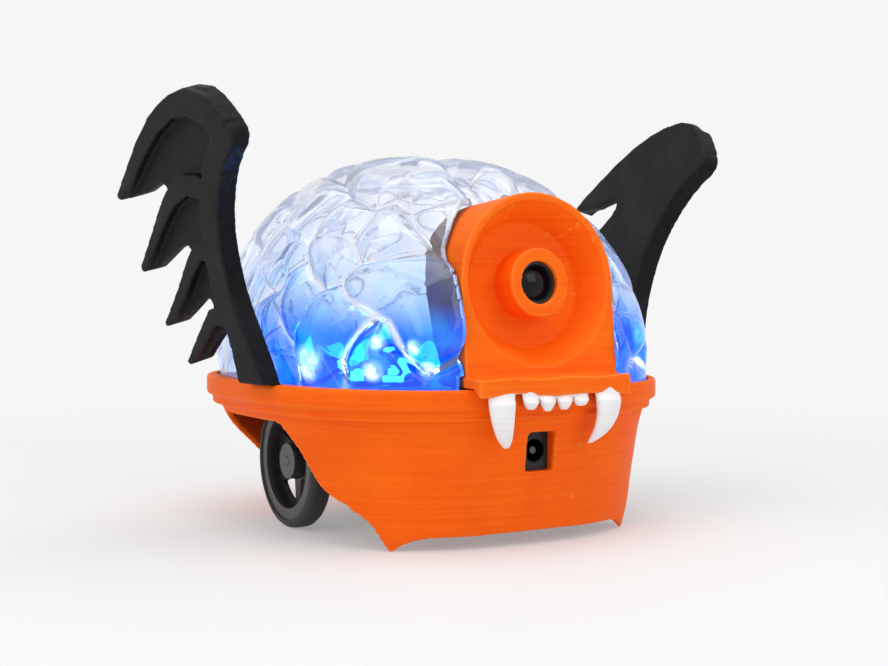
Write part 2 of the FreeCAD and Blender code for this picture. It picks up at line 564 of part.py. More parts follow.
def make_wheel(side):
    tag = "left" if side > 0 else "right"
    # rim: barrel, web and hub in one profile; x runs from the inner face (0) to the outer face
    b = body("wheel_rim_" + tag)
    pts = [(0.7, "rim_in_r"), (0.7, "tyre_in_r"), ("wheel_width-0.5", "tyre_in_r"), ("wheel_width-0.5", "rim_in_r"), (2.6, "rim_in_r-0.4"), (2.6, "hub_r"), ("wheel_width-0.9", "hub_r-0.3"), ("wheel_width-0.9", "shaft_r"), (0.0, "shaft_r"), (0.0, "hub_r-1"), (1.0, "hub_r-1"), (1.0, "rim_in_r-0.4")]
    sk = profile(b, "wheel_profile_" + tag, pts, "XY_Plane")
    revolve(b, sk, "wheel_turned_" + tag)
    doc.recompute()
    # six windows leave six thin spokes
    win = b.newObject("Sketcher::SketchObject", "wheel_window_" + tag)
    win.AttachmentSupport = [(plane(b, "YZ_Plane"), "")]
    win.MapMode = "FlatFace"
    import Sketcher
    r1, r2, h1, h2 = g["hub_r"] + 0.7, g["rim_in_r"] - 1.0, 11.0, 24.5
    q = [(r1 * math.cos(math.radians(-h1)), r1 * math.sin(math.radians(-h1))), (r2 * math.cos(math.radians(-h2)), r2 * math.sin(math.radians(-h2))), (r2 * 1.0, 0.0), (r2 * math.cos(math.radians(h2)), r2 * math.sin(math.radians(h2))), (r1 * math.cos(math.radians(h1)), r1 * math.sin(math.radians(h1)))]
    win.addGeometry(Part.LineSegment(Vector(q[0][0], q[0][1], 0), Vector(q[1][0], q[1][1], 0)), False)
    win.addGeometry(Part.Arc(Vector(q[1][0], q[1][1], 0), Vector(q[2][0], q[2][1], 0), Vector(q[3][0], q[3][1], 0)), False)
    win.addGeometry(Part.LineSegment(Vector(q[3][0], q[3][1], 0), Vector(q[4][0], q[4][1], 0)), False)
    win.addGeometry(Part.LineSegment(Vector(q[4][0], q[4][1], 0), Vector(q[0][0], q[0][1], 0)), False)
    win.addConstraint(Sketcher.Constraint("Coincident", 0, 2, 1, 1))
    win.addConstraint(Sketcher.Constraint("Coincident", 1, 2, 2, 1))
    win.addConstraint(Sketcher.Constraint("Coincident", 2, 2, 3, 1))
    win.addConstraint(Sketcher.Constraint("Coincident", 3, 2, 0, 1))
    pk = b.newObject("PartDesign::Pocket", "wheel_pocket_" + tag)
    pk.Profile = win
    pk.Type = 1
    pk.Midplane = True
    doc.recompute()
    before = b.Shape.Volume
    pat = b.newObject("PartDesign::PolarPattern", "wheel_windows_" + tag)
    pat.Originals = [pk]
    pat.Axis = (next(o for o in b.Origin.OriginFeatures if o.Role == "X_Axis"), [""])
    pat.Angle = 360.0
    pat.Occurrences = 6
    b.Tip = pat
    doc.recompute()
    if b.Shape.Volume > before - 10:
        raise RuntimeError("the wheel windows cut nothing")
    # tyre: a ring with rounded shoulders
    ty = body("tyre_" + tag)
    tp = [(0.7, "tyre_in_r"), (0.0, "tyre_in_r+0.1"), (0.0, "wheel_r-1.6"), (0.45, "wheel_r-0.75"), (1.3, "wheel_r-0.15"), (2.4, "wheel_r"), ("wheel_width-2.4", "wheel_r"), ("wheel_width-1.3", "wheel_r-0.15"), ("wheel_width-0.45", "wheel_r-0.75"), ("wheel_width", "wheel_r-1.6"), ("wheel_width", "tyre_in_r+0.1"), ("wheel_width-0.5", "tyre_in_r")]
    revolve(ty, profile(ty, "tyre_profile_" + tag, tp, "XY_Plane"), "tyre_turned_" + tag)
    # output shaft of the gearmotor, pressed into the hub
    sh_ = body("output_shaft_" + tag)
    sp = [(0.0, 0.0), ("wheel_width-0.7", 0.0), ("wheel_width-0.7", "shaft_r-0.3"), ("wheel_width-1.0", "shaft_r"), (-6.1, "shaft_r"), (-6.1, 0.0)]
    revolve(sh_, profile(sh_, "shaft_profile_" + tag, [(-6.1, 0.0), ("wheel_width-0.7", 0.0), ("wheel_width-0.7", "shaft_r-0.3"), ("wheel_width-1.0", "shaft_r"), (-6.1, "shaft_r")], "XY_Plane"), "shaft_turned_" + tag)
    for o, lab in ((b, "wheel_rim_" + tag), (ty, "tyre_" + tag), (sh_, "output_shaft_" + tag)):
        if side < 0:
            o.Placement = Placement(Vector(0, 0, 0), Rotation(Vector(0, 0, 1), 180))
        put(o, "Placement.Base.x", "wheel_face-wheel_width" if side > 0 else "wheel_width-wheel_face")
        put(o, "Placement.Base.z", "wheel_r")
        final(o, lab)


make_wheel(1)
make_wheel(-1)


# ---------------------------------------------------------------- gearmotors
def gear(teeth, module, x0, x1, phase):
    """A spur gear about the X axis, between x0 and x1, with flat flanks and backlash."""
    r = teeth * module / 2
    root, tip = r - 1.2 * module, r + 0.85 * module
    step = 2 * math.pi / teeth
    pts = []
    for i in range(teeth):
        c = phase + i * step
        for rad, half in ((root, 0.34), (r, 0.205), (tip, 0.10)):
            pts.append((rad, c - half * step))
        for rad, half in ((tip, 0.10), (r, 0.205), (root, 0.34)):
            pts.append((rad, c + half * step))
    p = [Vector(x0, a * math.cos(w), a * math.sin(w)) for a, w in pts]
    return Part.Face(Part.makePolygon(p + [p[0]])).extrude(Vector(x1 - x0, 0, 0))


TERMINALS = []


def make_motor(side):
    tag = "left" if side > 0 else "right"
    m = g["gear_module"]
    xo, gl, hy, hz = g["gear_out_x"], g["gearbox_len"], g["gearbox_half_y"], g["gearbox_half_z"]
    zr, off = g["wheel_r"], g["gear_offset"]

    def give(name, shape):
        if side < 0:
            shape = shape.mirror(Vector(0, 0, 0), Vector(1, 0, 0))
        final(feature(name + "_" + tag, shape), name + "_" + tag)

    up = Vector(0, 0, zr)
    # output gear on the shaft, 24 teeth; a tooth gap faces the countershaft above
    og = gear(24, m, xo - 4.4, xo - 2.6, math.pi / 2 + math.pi / 24).cut(Part.makeCylinder(g["shaft_r"], 6, Vector(xo - 6, 0, 0), Vector(1, 0, 0)))
    og.translate(up)
    give("output_gear", og)
    # countershaft: 24 teeth driven by the pinion, 8 teeth that drive the output gear
    cg = Part.makeCylinder(0.5, gl - 0.4, Vector(xo - gl + 0.2, 0, 0), Vector(1, 0, 0))
    cg = cg.fuse(gear(24, m, xo - 7.0, xo - 5.6, -math.pi / 2)).fuse(gear(8, m, xo - 4.8, xo - 2.2, -math.pi / 2)).removeSplitter()
    cg.translate(up + Vector(0, 0, off))
    give("counter_gear", cg)
    # motor pinion, 8 teeth; a gap faces the countershaft
    pg = gear(8, m, xo - 7.4, xo - 5.3, math.pi / 2 + math.pi / 8).cut(Part.makeCylinder(0.4, 20, Vector(xo - 20, 0, 0), Vector(1, 0, 0)))
    pg.translate(up)
    give("motor_pinion", pg)
    # rotor: shaft and laminated armature
    cx = xo - gl
    rot = Part.makeCylinder(0.4, g["can_len"] + 3.4 - 1.0, Vector(cx - g["can_len"] + 1.0, 0, 0), Vector(1, 0, 0))
    rot = rot.fuse(Part.makeCylinder(3.9, 8.5, Vector(cx - 12.0, 0, 0), Vector(1, 0, 0)))
    rot.translate(up)
    give("motor_rotor", rot)
    # can: a flattened steel cup
    can = Part.makeCylinder(hz, g["can_len"], Vector(cx - g["can_len"], 0, 0), Vector(1, 0, 0)).common(Part.makeBox(g["can_len"], 2 * hy, 2 * hz, Vector(cx - g["can_len"], -hy, -hz)))
    can = can.cut(Part.makeCylinder(4.4, g["can_len"] - 1.0, Vector(cx - g["can_len"], 0, 0), Vector(1, 0, 0))).cut(Part.makeCylinder(0.46, 5, Vector(cx - 3, 0, 0), Vector(1, 0, 0)))
    can.translate(up)
    give("motor_can", can)
    # plastic end cap with two terminals
    cap = Part.makeCylinder(hz - 0.15, g["cap_len"], Vector(cx - g["can_len"] - g["cap_len"], 0, 0), Vector(1, 0, 0)).common(Part.makeBox(g["cap_len"], 2 * hy - 0.3, 2 * hz, Vector(cx - g["can_len"] - g["cap_len"], -hy + 0.15, -hz)))
    cap.translate(up)
    give("motor_end_cap", cap)
    terms = [Part.makeBox(2.2, 0.5, 1.6, Vector(cx - g["can_len"] - g["cap_len"] - 2.2, s * 3.4 - 0.25, zr - 0.8)) for s in (-1, 1)]
    TERMINALS.extend([t_ if side > 0 else t_.mirror(Vector(0, 0, 0), Vector(1, 0, 0)) for t_ in terms])
    # gearbox frame: two brass plates on four posts
    fr = None
    for x in (xo - gl, xo - 1.0):
        pl = Part.makeBox(1.0, 2 * hy, 2 * hz, Vector(x, -hy, -hz))
        fr = pl if fr is None else fr.fuse(pl)
    for sy in (-1, 1):
        for sz in (-1, 1):
            fr = fr.fuse(Part.makeCylinder(0.7, gl - 1.0, Vector(xo - gl + 0.5, sy * 4.1, sz * 5.1), Vector(1, 0, 0)))
    fr = fr.cut(Part.makeCylinder(g["shaft_r"] + 0.05, 4, Vector(xo - 3, 0, 0), Vector(1, 0, 0)))
    fr = fr.cut(Part.makeCylinder(0.46, 3, Vector(xo - gl - 1, 0, 0), Vector(1, 0, 0)))
    fr = fr.cut(Part.makeCylinder(0.55, 30, Vector(xo - gl - 5, 0, off), Vector(1, 0, 0)))
    fr.translate(up)
    give("gearbox_frame", fr)
    # bracket: a closed collar round the gearbox on a block that reaches the deck
    zt = g["deck_seat"]
    br = Part.makeBox(6.0, 22.0, zt - zr - hz, Vector(xo - 7.6, -11.0, zr + hz)).cut(Part.makeBox(20, 7.0, 8.0, Vector(xo - 15, -3.5, zr + hz + 3.0)))
    br = br.fuse(Part.makeBox(6.0, 2 * hy + 3.6, 2 * hz + 3.4, Vector(xo - 7.6, -hy - 1.8, zr - hz - 1.7))).cut(Part.makeBox(30, 2 * hy + 0.06, 2 * hz + 0.06, Vector(xo - 20, -hy - 0.03, zr - hz - 0.03)))
    for y in (-7.0, 7.0):
        br = br.cut(Part.makeCylinder(g["screw_r"], 9.0, Vector(36.0, y, zt - 8.9)))
    give("motor_bracket", br)


make_motor(1)
make_motor(-1)
final(feature("motor_terminals", Part.makeCompound(TERMINALS)), "motor_terminals")


# ---------------------------------------------------------------- screws
def screw(name, x, y, z, length, r="screw_r", head="screw_head_r", up=1):
    """A pan head screw: z is the plane under its head, and the shank points down for up = 1."""
    if up > 0:
        return fuse(name, cyl(name + "_shank", r, length, x, y, ("%s-%g" % (z, length)) if isinstance(z, str) else z - length), cyl(name + "_head", head, 1.2, x, y, z))
    return fuse(name, cyl(name + "_shank", r, length, x, y, z), cyl(name + "_head", head, 1.2, x, y, ("%s-1.2" % z) if isinstance(z, str) else z - 1.2))


deck_top = "deck_seat+deck_thick"
final(group("deck_screws", *[screw("deck_screw_%d" % i, x, y, deck_top, 5.4) for i, (x, y) in enumerate(DECK_SCREWS)]), "deck_screws")
final(group("bracket_screws", *[screw("bracket_screw_%d" % i, x, y, deck_top, 9.0) for i, (x, y) in enumerate(BRACKET_SCREWS)]), "bracket_screws")
final(group("board_screws", *[screw("board_screw_%d" % i, x, y, deck_top, 9.6) for i, (x, y) in enumerate(BOARD_SCREWS)]), "board_screws")
final(group("cradle_screws", *[screw("cradle_screw_%d" % i, x, y, deck_top, 7.0) for i, (x, y) in enumerate(CRADLE_SCREWS)]), "cradle_screws")
final(group("mask_screws", *[screw("mask_screw_%d" % i, x, y, "deck_seat", 4.6, up=-1) for i, (x, y) in enumerate(MASK_SCREWS)]), "mask_screws")

# ---------------------------------------------------------------- controller board under the deck, rear
cb = box("board_blank", "board_w", "board_l", "board_thick", "-board_w/2", "board_y-board_l/2", "board_z")
cbh = [cyl("board_hole_%d" % i, "screw_r+0.1", 6, x, y, "board_z-2") for i, (x, y) in enumerate(BOARD_SCREWS)]
final(cut("controller_board", cb, *cbh), "controller_board")
so = [cut("standoff_%d" % i, cyl("standoff_blank_%d" % i, 2.6, "deck_seat-board_z-board_thick", x, y, "board_z+board_thick"), cyl("standoff_bore_%d" % i, "screw_r", 12, x, y, "board_z")) for i, (x, y) in enumerate(BOARD_SCREWS)]
final(group("board_standoffs", *so), "board_standoffs")
final(group("controller_chips", box("chip_processor", 10, 10, 1.2, -5, "board_y-8", "board_z-1.2"), box("chip_driver", 7, 5, 1.4, -16, "board_y-2", "board_z-1.4"), box("chip_radio", 16, 12, 2.2, -8, "board_y+6", "board_z-2.2"), box("chip_regulator", 4.5, 6.5, 1.6, 10, "board_y-14", "board_z-1.6")), "controller_chips")
final(group("controller_capacitors", cyl("capacitor_0", 2.5, 5.5, 18.0, "board_y-6", "board_z-5.5"), cyl("capacitor_1", 2.5, 5.5, -19.5, "board_y+6", "board_z-5.5")), "controller_capacitors")
usb = cut("usb_socket", box("usb_block", 9, 7.4, 3.2, -4.5, "board_y+board_l/2-6.8", "board_z+board_thick"), box("usb_mouth", 8, 6.4, 2.4, -4, "board_y+board_l/2-5.4", "board_z+board_thick+0.4"))
final(usb, "usb_socket")
final(group("header_sockets", box("header_0", 10, 2.6, 6.0, -5, "board_y-board_l/2+1", "board_z+board_thick"), box("header_1", 7.5, 2.6, 6.0, -17.5, "board_y-board_l/2+1", "board_z+board_thick"), box("header_2", 7.5, 2.6, 6.0, 10, "board_y-board_l/2+1", "board_z+board_thick")), "header_sockets")
# slide switch on the board's underside, reached from below
sw = cut("switch_body", box("switch_block", 9.0, 4.0, 3.6, 11.5, "board_y+board_l/2-13", "board_z-3.6"), box("switch_slot", 5.2, 1.8, 3.0, 13.4, "board_y+board_l/2-11.9", "board_z-4.2"), box("switch_track", 5.2, 3.0, 1.3, 13.4, "board_y+board_l/2-12.5", "board_z-2.5"))
final(sw, "switch_body")
sl = fuse("switch_slider", box("slider_knob", 2.0, 1.6, 3.5, 13.5, "board_y+board_l/2-11.8", "board_z-5.4"), box("slider_plate", 2.0, 2.8, 1.0, 13.5, "board_y+board_l/2-12.4", "board_z-2.4"))
final(sl, "switch_slider")

# ---------------------------------------------------------------- battery in its cradle, front
bx, by, bt = "battery_w/2", "battery_l/2", "battery_tall"
final(cut("battery_cradle", box("cradle_block", "battery_w+3.2", "battery_l+3.2", "deck_seat-battery_z+1.6", "-battery_w/2-1.6", "battery_y-battery_l/2-1.6", "battery_z-1.6"),
          box("cradle_hollow", "battery_w+0.2", "battery_l+0.2", 40, "-battery_w/2-0.1", "battery_y-battery_l/2-0.1", "battery_z"),
          box("cradle_window", 40, 60, "battery_tall-5", -20, "battery_y-30", "battery_z+2.5")), "battery_cradle_walls")
FINAL.pop()
ears = [box("cradle_ear_%d" % i, 7.0, 8.0, 9.0, (27.0 + 2.0) * s if s > 0 else -36.0, "battery_y-4", "deck_seat-9") for i, s in enumerate((1, -1))]
ear_holes = [cyl("cradle_ear_hole_%d" % i, "screw_r", 8.0, x, y, "deck_seat-7.9") for i, (x, y) in enumerate(CRADLE_SCREWS)]
inner_clear = box("cradle_clear", "battery_w+0.2", "battery_l+0.2", 40, "-battery_w/2-0.1", "battery_y-battery_l/2-0.1", "battery_z")
cr = cut("cradle_final", fuse("cradle_with_ears", doc.getObject("battery_cradle"), *ears), inner_clear, *ear_holes)
final(cr, "battery_cradle")
final(box("battery_pack", "battery_w", "battery_l", "battery_tall", "-battery_w/2", "battery_y-battery_l/2", "battery_z"), "battery_pack")

# ---------------------------------------------------------------- power jack in the bow
jb = cut("jack_shell", box("jack_block", "jack_w", "jack_len", "jack_tall", "-jack_w/2", "jack_face", "jack_z-jack_tall/2"), cyl("jack_socket", 3.2, 9.0, 0, "jack_face", "jack_z", "y"))
final(jb, "jack_body")
final(cyl("jack_pin", 1.0, 10.4, 0, "jack_face+0.8", "jack_z", "y"), "jack_pin")
jp = cut("jack_shell_drilled", jb, cyl("jack_pin_seat", 1.0, 10.4, 0, "jack_face+0.8", "jack_z", "y"))
FINAL[:] = [f for f in FINAL if f[1] != "jack_body"]
jb.Label = "jack_blank"
final(jp, "jack_body")
final(group("jack_terminals", box("jack_terminal_0", 2.4, 2.6, 0.5, -1.2, "jack_face+jack_len", "jack_z-3"), box("jack_terminal_1", 2.4, 2.6, 0.5, -1.2, "jack_face+jack_len", "jack_z+3")), "jack_terminals")

# ---------------------------------------------------------------- light ring on the deck
ring = cut("light_ring_board", cyl("ring_blank", "led_ring_r", 1.6, 0, "led_ring_y", deck_top), cyl("ring_opening", "led_ring_in_r", 4, 0, "led_ring_y", "deck_seat+deck_thick-1"), *[cyl("ring_hole_%d" % i, "screw_r+0.1", 4, x, y, "deck_seat+deck_thick-1") for i, (x, y) in enumerate(RING_SCREWS)], *[cyl("ring_notch_%d" % i, 2.2, 4, x, y, "deck_seat+deck_thick-1") for i, (x, y) in enumerate(BOARD_SCREWS) if y < g["board_y"]])
final(ring, "light_ring_board")
leds = []
for i in range(12):
    a = math.radians(15 + 30 * i)
    o = feature("led_%d" % i, Part.makeBox(5, 5, 1.8, Vector(-2.5, -2.5, 0)))
    o.Placement = Placement(Vector(29.5 * math.cos(a), g["led_ring_y"] + 29.5 * math.sin(a), g["deck_seat"] + g["deck_thick"] + 1.6), Rotation(Vector(0, 0, 1), math.degrees(a)))
    leds.append(o)
final(group("lights", *leds), "lights")
final(group("ring_screws", *[screw("ring_screw_%d" % i, x, y, "deck_seat+deck_thick+1.6", 3.4) for i, (x, y) in enumerate(RING_SCREWS)]), "ring_screws")

# ---------------------------------------------------------------- camera behind the eye, tilted with the mask
lb = cut("lens_barrel", fuse("barrel_solid", cyl("barrel_front", "eye_hole_r-0.1", 13.0, 0, "eye_y+1.2", "eye_z", "y"), cyl("barrel_thread", 5.0, 18.0, 0, "eye_y+1.2", "eye_z", "y")), cone("barrel_mouth", 5.2, 4.4, 1.6, 0, "eye_y+1.199", "eye_z", "y"))
final(tilted(lb), "lens_barrel")
glass = common("lens_glass", cyl("glass_disc", 4.4, 2.0, 0, "eye_y+1.3", "eye_z", "y"), feature("glass_ball", Part.makeSphere(9.0, Vector(0, g["eye_y"] + 1.3 + 9.0 + 0.1, g["eye_z"]))))
gl2 = cut("lens_glass_seated", glass, cyl("glass_back", 6, 10, 0, "eye_y+2.799", "eye_z", "y"))
final(tilted(gl2), "lens_glass")
ch = cut("camera_holder", box("holder_block", 15, 7.4, 15, -7.5, "eye_y+12.6", "eye_z-7.5"), cyl("holder_bore", 5.0, 20, 0, "eye_y+10", "eye_z", "y"), cyl("holder_counterbore", "eye_hole_r", 1.7, 0, "eye_y+12.6", "eye_z", "y"))
final(tilted(ch), "camera_holder")
cbd = cut("camera_board", box("camera_board_blank", 30, 1.6, 30, -15, "eye_y+20", "eye_z-15"), *[cyl("camera_board_hole_%d" % i, 1.0, 4, sx * 12.0, "eye_y+19", "eye_z+%g" % (sz * 12.0), "y") for i, (sx, sz) in enumerate([(-1, -1), (1, -1), (-1, 1), (1, 1)])])
final(tilted(cbd), "camera_board")
cs = []
for i, (sx, sz) in enumerate([(-1, -1), (1, -1), (-1, 1), (1, 1)]):
    cs.append(fuse("camera_screw_%d" % i, cyl("camera_screw_shank_%d" % i, 0.9, 8.0, sx * 12.0, "eye_y+13.6", "eye_z+%g" % (sz * 12.0), "y"), cyl("camera_screw_head_%d" % i, 1.7, 1.1, sx * 12.0, "eye_y+21.6", "eye_z+%g" % (sz * 12.0), "y")))
final(tilted(group("camera_screws", *cs)), "camera_screws")


# ---------------------------------------------------------------- leads: wires held inside the car
def wire(points, r, bend):
    """A round wire along straight runs that tangent arcs join."""
    edges = []
    last = Vector(*points[0])
    for i in range(1, len(points) - 1):
        a, b, c = (Vector(*points[k]) for k in (i - 1, i, i + 1))
        u, w = (a - b).normalize(), (c - b).normalize()
        half = math.acos(max(-1, min(1, u.dot(w)))) / 2
        t = bend / math.tan(half)
        p, q = b + u * t, b + w * t
        mid = b + (u + w).normalize() * (bend / math.sin(half) - bend)
        edges.append(Part.LineSegment(last, p).toShape())
        edges.append(Part.Arc(p, mid, q).toShape())
        last = q
    edges.append(Part.LineSegment(last, Vector(*points[-1])).toShape())
    path = Part.Wire(edges)
    d = (Vector(*points[1]) - Vector(*points[0])).normalize()
    circle = Part.Wire([Part.makeCircle(r, Vector(*points[0]), d)])
    return path.makePipeShell([circle], True, False)


tx = g["gear_out_x"] - g["gearbox_len"] - g["can_len"] - g["cap_len"] - 2.2
runs = []
for s in (1, -1):
    for k in (-1, 1):
        top = 37.4 + 1.2 * k
        runs.append(wire([(s * (tx - 0.7), 3.4 * k, g["wheel_r"] - 0.8), (s * (tx - 0.7), 3.4 * k, top), (s * (13.0 + 1.0 * k), g["board_y"] - g["board_l"] / 2 + 0.9, top)], 0.6, 2.2))
final(feature("motor_leads", Part.makeCompound(runs)), "motor_leads")

doc.recompute()
jy = g["jack_face"] + g["jack_len"] + 1.4
final(feature("jack_leads", Part.makeCompound([wire([(x, jy, g["jack_z"] + z), (x * 6.0, jy + 0.0, g["jack_z"] + z + 3.0), (x * 6.0, jy, 39.9)], 0.7, 1.8) for x, z in ((2.0, 3.25), (-2.0, -2.75))])), "jack_leads")
final(feature("light_leads", Part.makeCompound([wire([(x, 15.98, 40.0), (x, 14.0, 40.0), (x, 14.0, 48.0), (x * 3.0, -8.0, 48.0), (x * 3.0, -22.6, 48.0), (x * 3.0, -23.4, 45.05)], 0.5, 1.2) for x in (-1.2, 1.2)])), "light_leads")

# ---------------------------------------------------------------- shift to the origin's frame, check and write
doc.recompute()
for obj, label in FINAL:
    found = [e for p, e in obj.ExpressionEngine if p.lstrip(".") == "Placement.Base.y"]
    if found:
        obj.setExpression("Placement.Base.y", "(" + found[0] + ") + dims.origin_shift")
    else:
        obj.setExpression("Placement.Base.y", "dims.origin_shift")
doc.recompute()

bad = []
for o in doc.Objects:
    if any(s in ("Invalid", "Error") for s in o.State):
        bad.append("%s: %s" % (o.Name, o.State))
for obj, label in FINAL:
    s = obj.Shape
    if s.isNull() or not s.isValid() or s.Volume <= 0:
        bad.append("%s: null, not valid or empty" % label)
if len(FINAL) > 60:
    bad.append("more than 60 sub-parts")
if len(set(l for _, l in FINAL)) != len(FINAL):
    bad.append("two sub-parts share a label")
if bad:
    print("\n".join(bad))
    sys.exit(1)

os.makedirs("parts", exist_ok=True)
for obj, label in FINAL:
    obj.Shape.exportStep("parts/%s.step" % label)
box_all = None
for obj, label in FINAL:
    b = obj.Shape.BoundBox
    box_all = FreeCAD.BoundBox(b) if box_all is None else box_all.united(b)
    print("%-24s %d solid(s) volume %.1f  x %.2f..%.2f y %.2f..%.2f z %.2f..%.2f" % (label, len(obj.Shape.Solids), obj.Shape.Volume, b.XMin, b.XMax, b.YMin, b.YMax, b.ZMin, b.ZMax))
print("sub-parts", len(FINAL), "box", box_all)
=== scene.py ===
import bpy, bmesh, json, math
import numpy as np
from mathutils import Vector, Matrix


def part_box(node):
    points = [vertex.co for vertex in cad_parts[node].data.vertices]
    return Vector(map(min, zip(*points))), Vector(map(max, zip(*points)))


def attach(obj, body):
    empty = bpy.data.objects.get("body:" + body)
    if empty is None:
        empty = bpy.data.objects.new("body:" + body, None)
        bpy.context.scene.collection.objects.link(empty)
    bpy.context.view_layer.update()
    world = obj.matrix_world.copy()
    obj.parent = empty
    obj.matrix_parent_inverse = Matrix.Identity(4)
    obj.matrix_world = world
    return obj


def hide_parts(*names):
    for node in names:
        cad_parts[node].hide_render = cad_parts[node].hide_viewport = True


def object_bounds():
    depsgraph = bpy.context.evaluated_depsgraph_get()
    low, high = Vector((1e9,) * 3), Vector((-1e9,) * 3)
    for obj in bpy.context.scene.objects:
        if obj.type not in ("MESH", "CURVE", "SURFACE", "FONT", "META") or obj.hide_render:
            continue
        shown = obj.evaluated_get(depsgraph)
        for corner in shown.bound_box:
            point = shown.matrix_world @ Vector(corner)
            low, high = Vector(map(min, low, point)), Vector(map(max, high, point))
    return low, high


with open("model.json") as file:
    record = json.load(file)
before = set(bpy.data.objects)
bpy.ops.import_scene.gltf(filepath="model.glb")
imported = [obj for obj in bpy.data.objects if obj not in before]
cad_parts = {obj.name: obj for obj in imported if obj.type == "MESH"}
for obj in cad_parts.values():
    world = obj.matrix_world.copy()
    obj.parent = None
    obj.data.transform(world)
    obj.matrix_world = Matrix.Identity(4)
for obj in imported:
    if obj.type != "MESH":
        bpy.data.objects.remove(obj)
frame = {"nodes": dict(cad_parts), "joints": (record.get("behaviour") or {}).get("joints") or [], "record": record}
nodes = frame["nodes"]
cad_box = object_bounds()
scene = bpy.context.scene
S = [j for j in frame["joints"] if j["name"] == "wheel_left_spin"][0]["pos_m"][1]   # the wheel axle's place along Y
mm = 0.001


def link(o):
    scene.collection.objects.link(o)
    return o


# ---------------------------------------------------------------- camera
cam = bpy.data.cameras.new("camera")
cam.lens = 56.41
cam.sensor_width = 36.0
cam.clip_start = 0.01
cam.clip_end = 30.0
cam_o = link(bpy.data.objects.new("camera", cam))
cam_o.location = (-0.2207, -0.3813 + S, 0.0714)
cam_o.rotation_euler = Vector((0.5133, 0.8577, -0.0312)).to_track_quat("-Z", "Y").to_euler()
scene.camera = cam_o
scene.view_settings.view_transform = "Standard"
scene.view_settings.look = "None"


# ---------------------------------------------------------------- material helpers
class Mat:
    """One procedural material: a principled shader and short helpers for its nodes."""

    def __init__(self, name):
        self.m = bpy.data.materials.new(name)
        self.m.use_nodes = True
        self.t = self.m.node_tree
        self.b = self.t.nodes["Principled BSDF"]
        self.out = self.t.nodes["Material Output"]
        self.tc = self.t.nodes.new("ShaderNodeTexCoord")

    def n(self, kind, **props):
        x = self.t.nodes.new(kind)
        for k, v in props.items():
            setattr(x, k, v)
        return x

    def l(self, a, b):
        self.t.links.new(a, b)

    def at(self, scale=(1, 1, 1), rot=(0, 0, 0), loc=(0, 0, 0)):
        p = self.n("ShaderNodeMapping")
        p.inputs["Scale"].default_value = scale
        p.inputs["Rotation"].default_value = rot
        p.inputs["Location"].default_value = loc
        self.l(self.tc.outputs["Object"], p.inputs["Vector"])
        return p.outputs["Vector"]

    def noise(self, scale, detail=3.0, vec=None, rough=0.55):
        x = self.n("ShaderNodeTexNoise")
        x.inputs["Scale"].default_value = scale
        x.inputs["Detail"].default_value = detail
        x.inputs["Roughness"].default_value = rough
        self.l(vec if vec is not None else self.at(), x.inputs["Vector"])
        return x.outputs["Fac"]

    def wave(self, period, axis="Z", distortion=0.0, vec=None, scale=30.0):
        x = self.n("ShaderNodeTexWave", wave_type="BANDS", bands_direction=axis, wave_profile="SIN")
        x.inputs["Scale"].default_value = 2 * math.pi / (20.0 * period)
        x.inputs["Distortion"].default_value = distortion
        x.inputs["Detail"].default_value = 1.0
        x.inputs["Detail Scale"].default_value = 0.02
        self.l(vec if vec is not None else self.at(), x.inputs["Vector"])
        return x.outputs["Fac"]

    def ramp(self, fac, stops):
        x = self.n("ShaderNodeValToRGB")
        e = x.color_ramp.elements
        while len(e) < len(stops):
            e.new(0.5)
        for el, (p, c) in zip(e, stops):
            el.position = p
            el.color = (c, c, c, 1) if isinstance(c, (int, float)) else tuple(c) + (1,)
        self.l(fac, x.inputs["Fac"])
        return x.outputs["Color"]

    def math(self, op, a, b=0.0, c=None):
        x = self.n("ShaderNodeMath", operation=op)
        for i, v in enumerate((a, b) if c is None else (a, b, c)):
            if isinstance(v, (int, float)):
                x.inputs[i].default_value = v
            else:
                self.l(v, x.inputs[i])
        return x.outputs[0]

    def axis(self, k):
        x = self.n("ShaderNodeSeparateXYZ")
        self.l(self.tc.outputs["Object"], x.inputs[0])
        return x.outputs[k]

    def span(self, v, a, b, lo=0.0, hi=1.0):
        x = self.n("ShaderNodeMapRange", interpolation_type="SMOOTHSTEP")
        for i, val in ((1, a), (2, b), (3, lo), (4, hi)):
            x.inputs[i].default_value = val
        if isinstance(v, (int, float)):
            x.inputs[0].default_value = v
        else:
            self.l(v, x.inputs[0])
        return x.outputs[0]

    def bump(self, height, strength=0.5, dist=0.0001, prev=None):
        x = self.n("ShaderNodeBump")
        x.inputs["Strength"].default_value = strength
        x.inputs["Distance"].default_value = dist
        self.l(height, x.inputs["Height"])
        if prev is not None:
            self.l(prev, x.inputs["Normal"])
        self.l(x.outputs["Normal"], self.b.inputs["Normal"])
        return x.outputs["Normal"]

    def set(self, **kw):
        for k, v in kw.items():
            self.b.inputs[k.replace("_", " ")].default_value = v
        return self


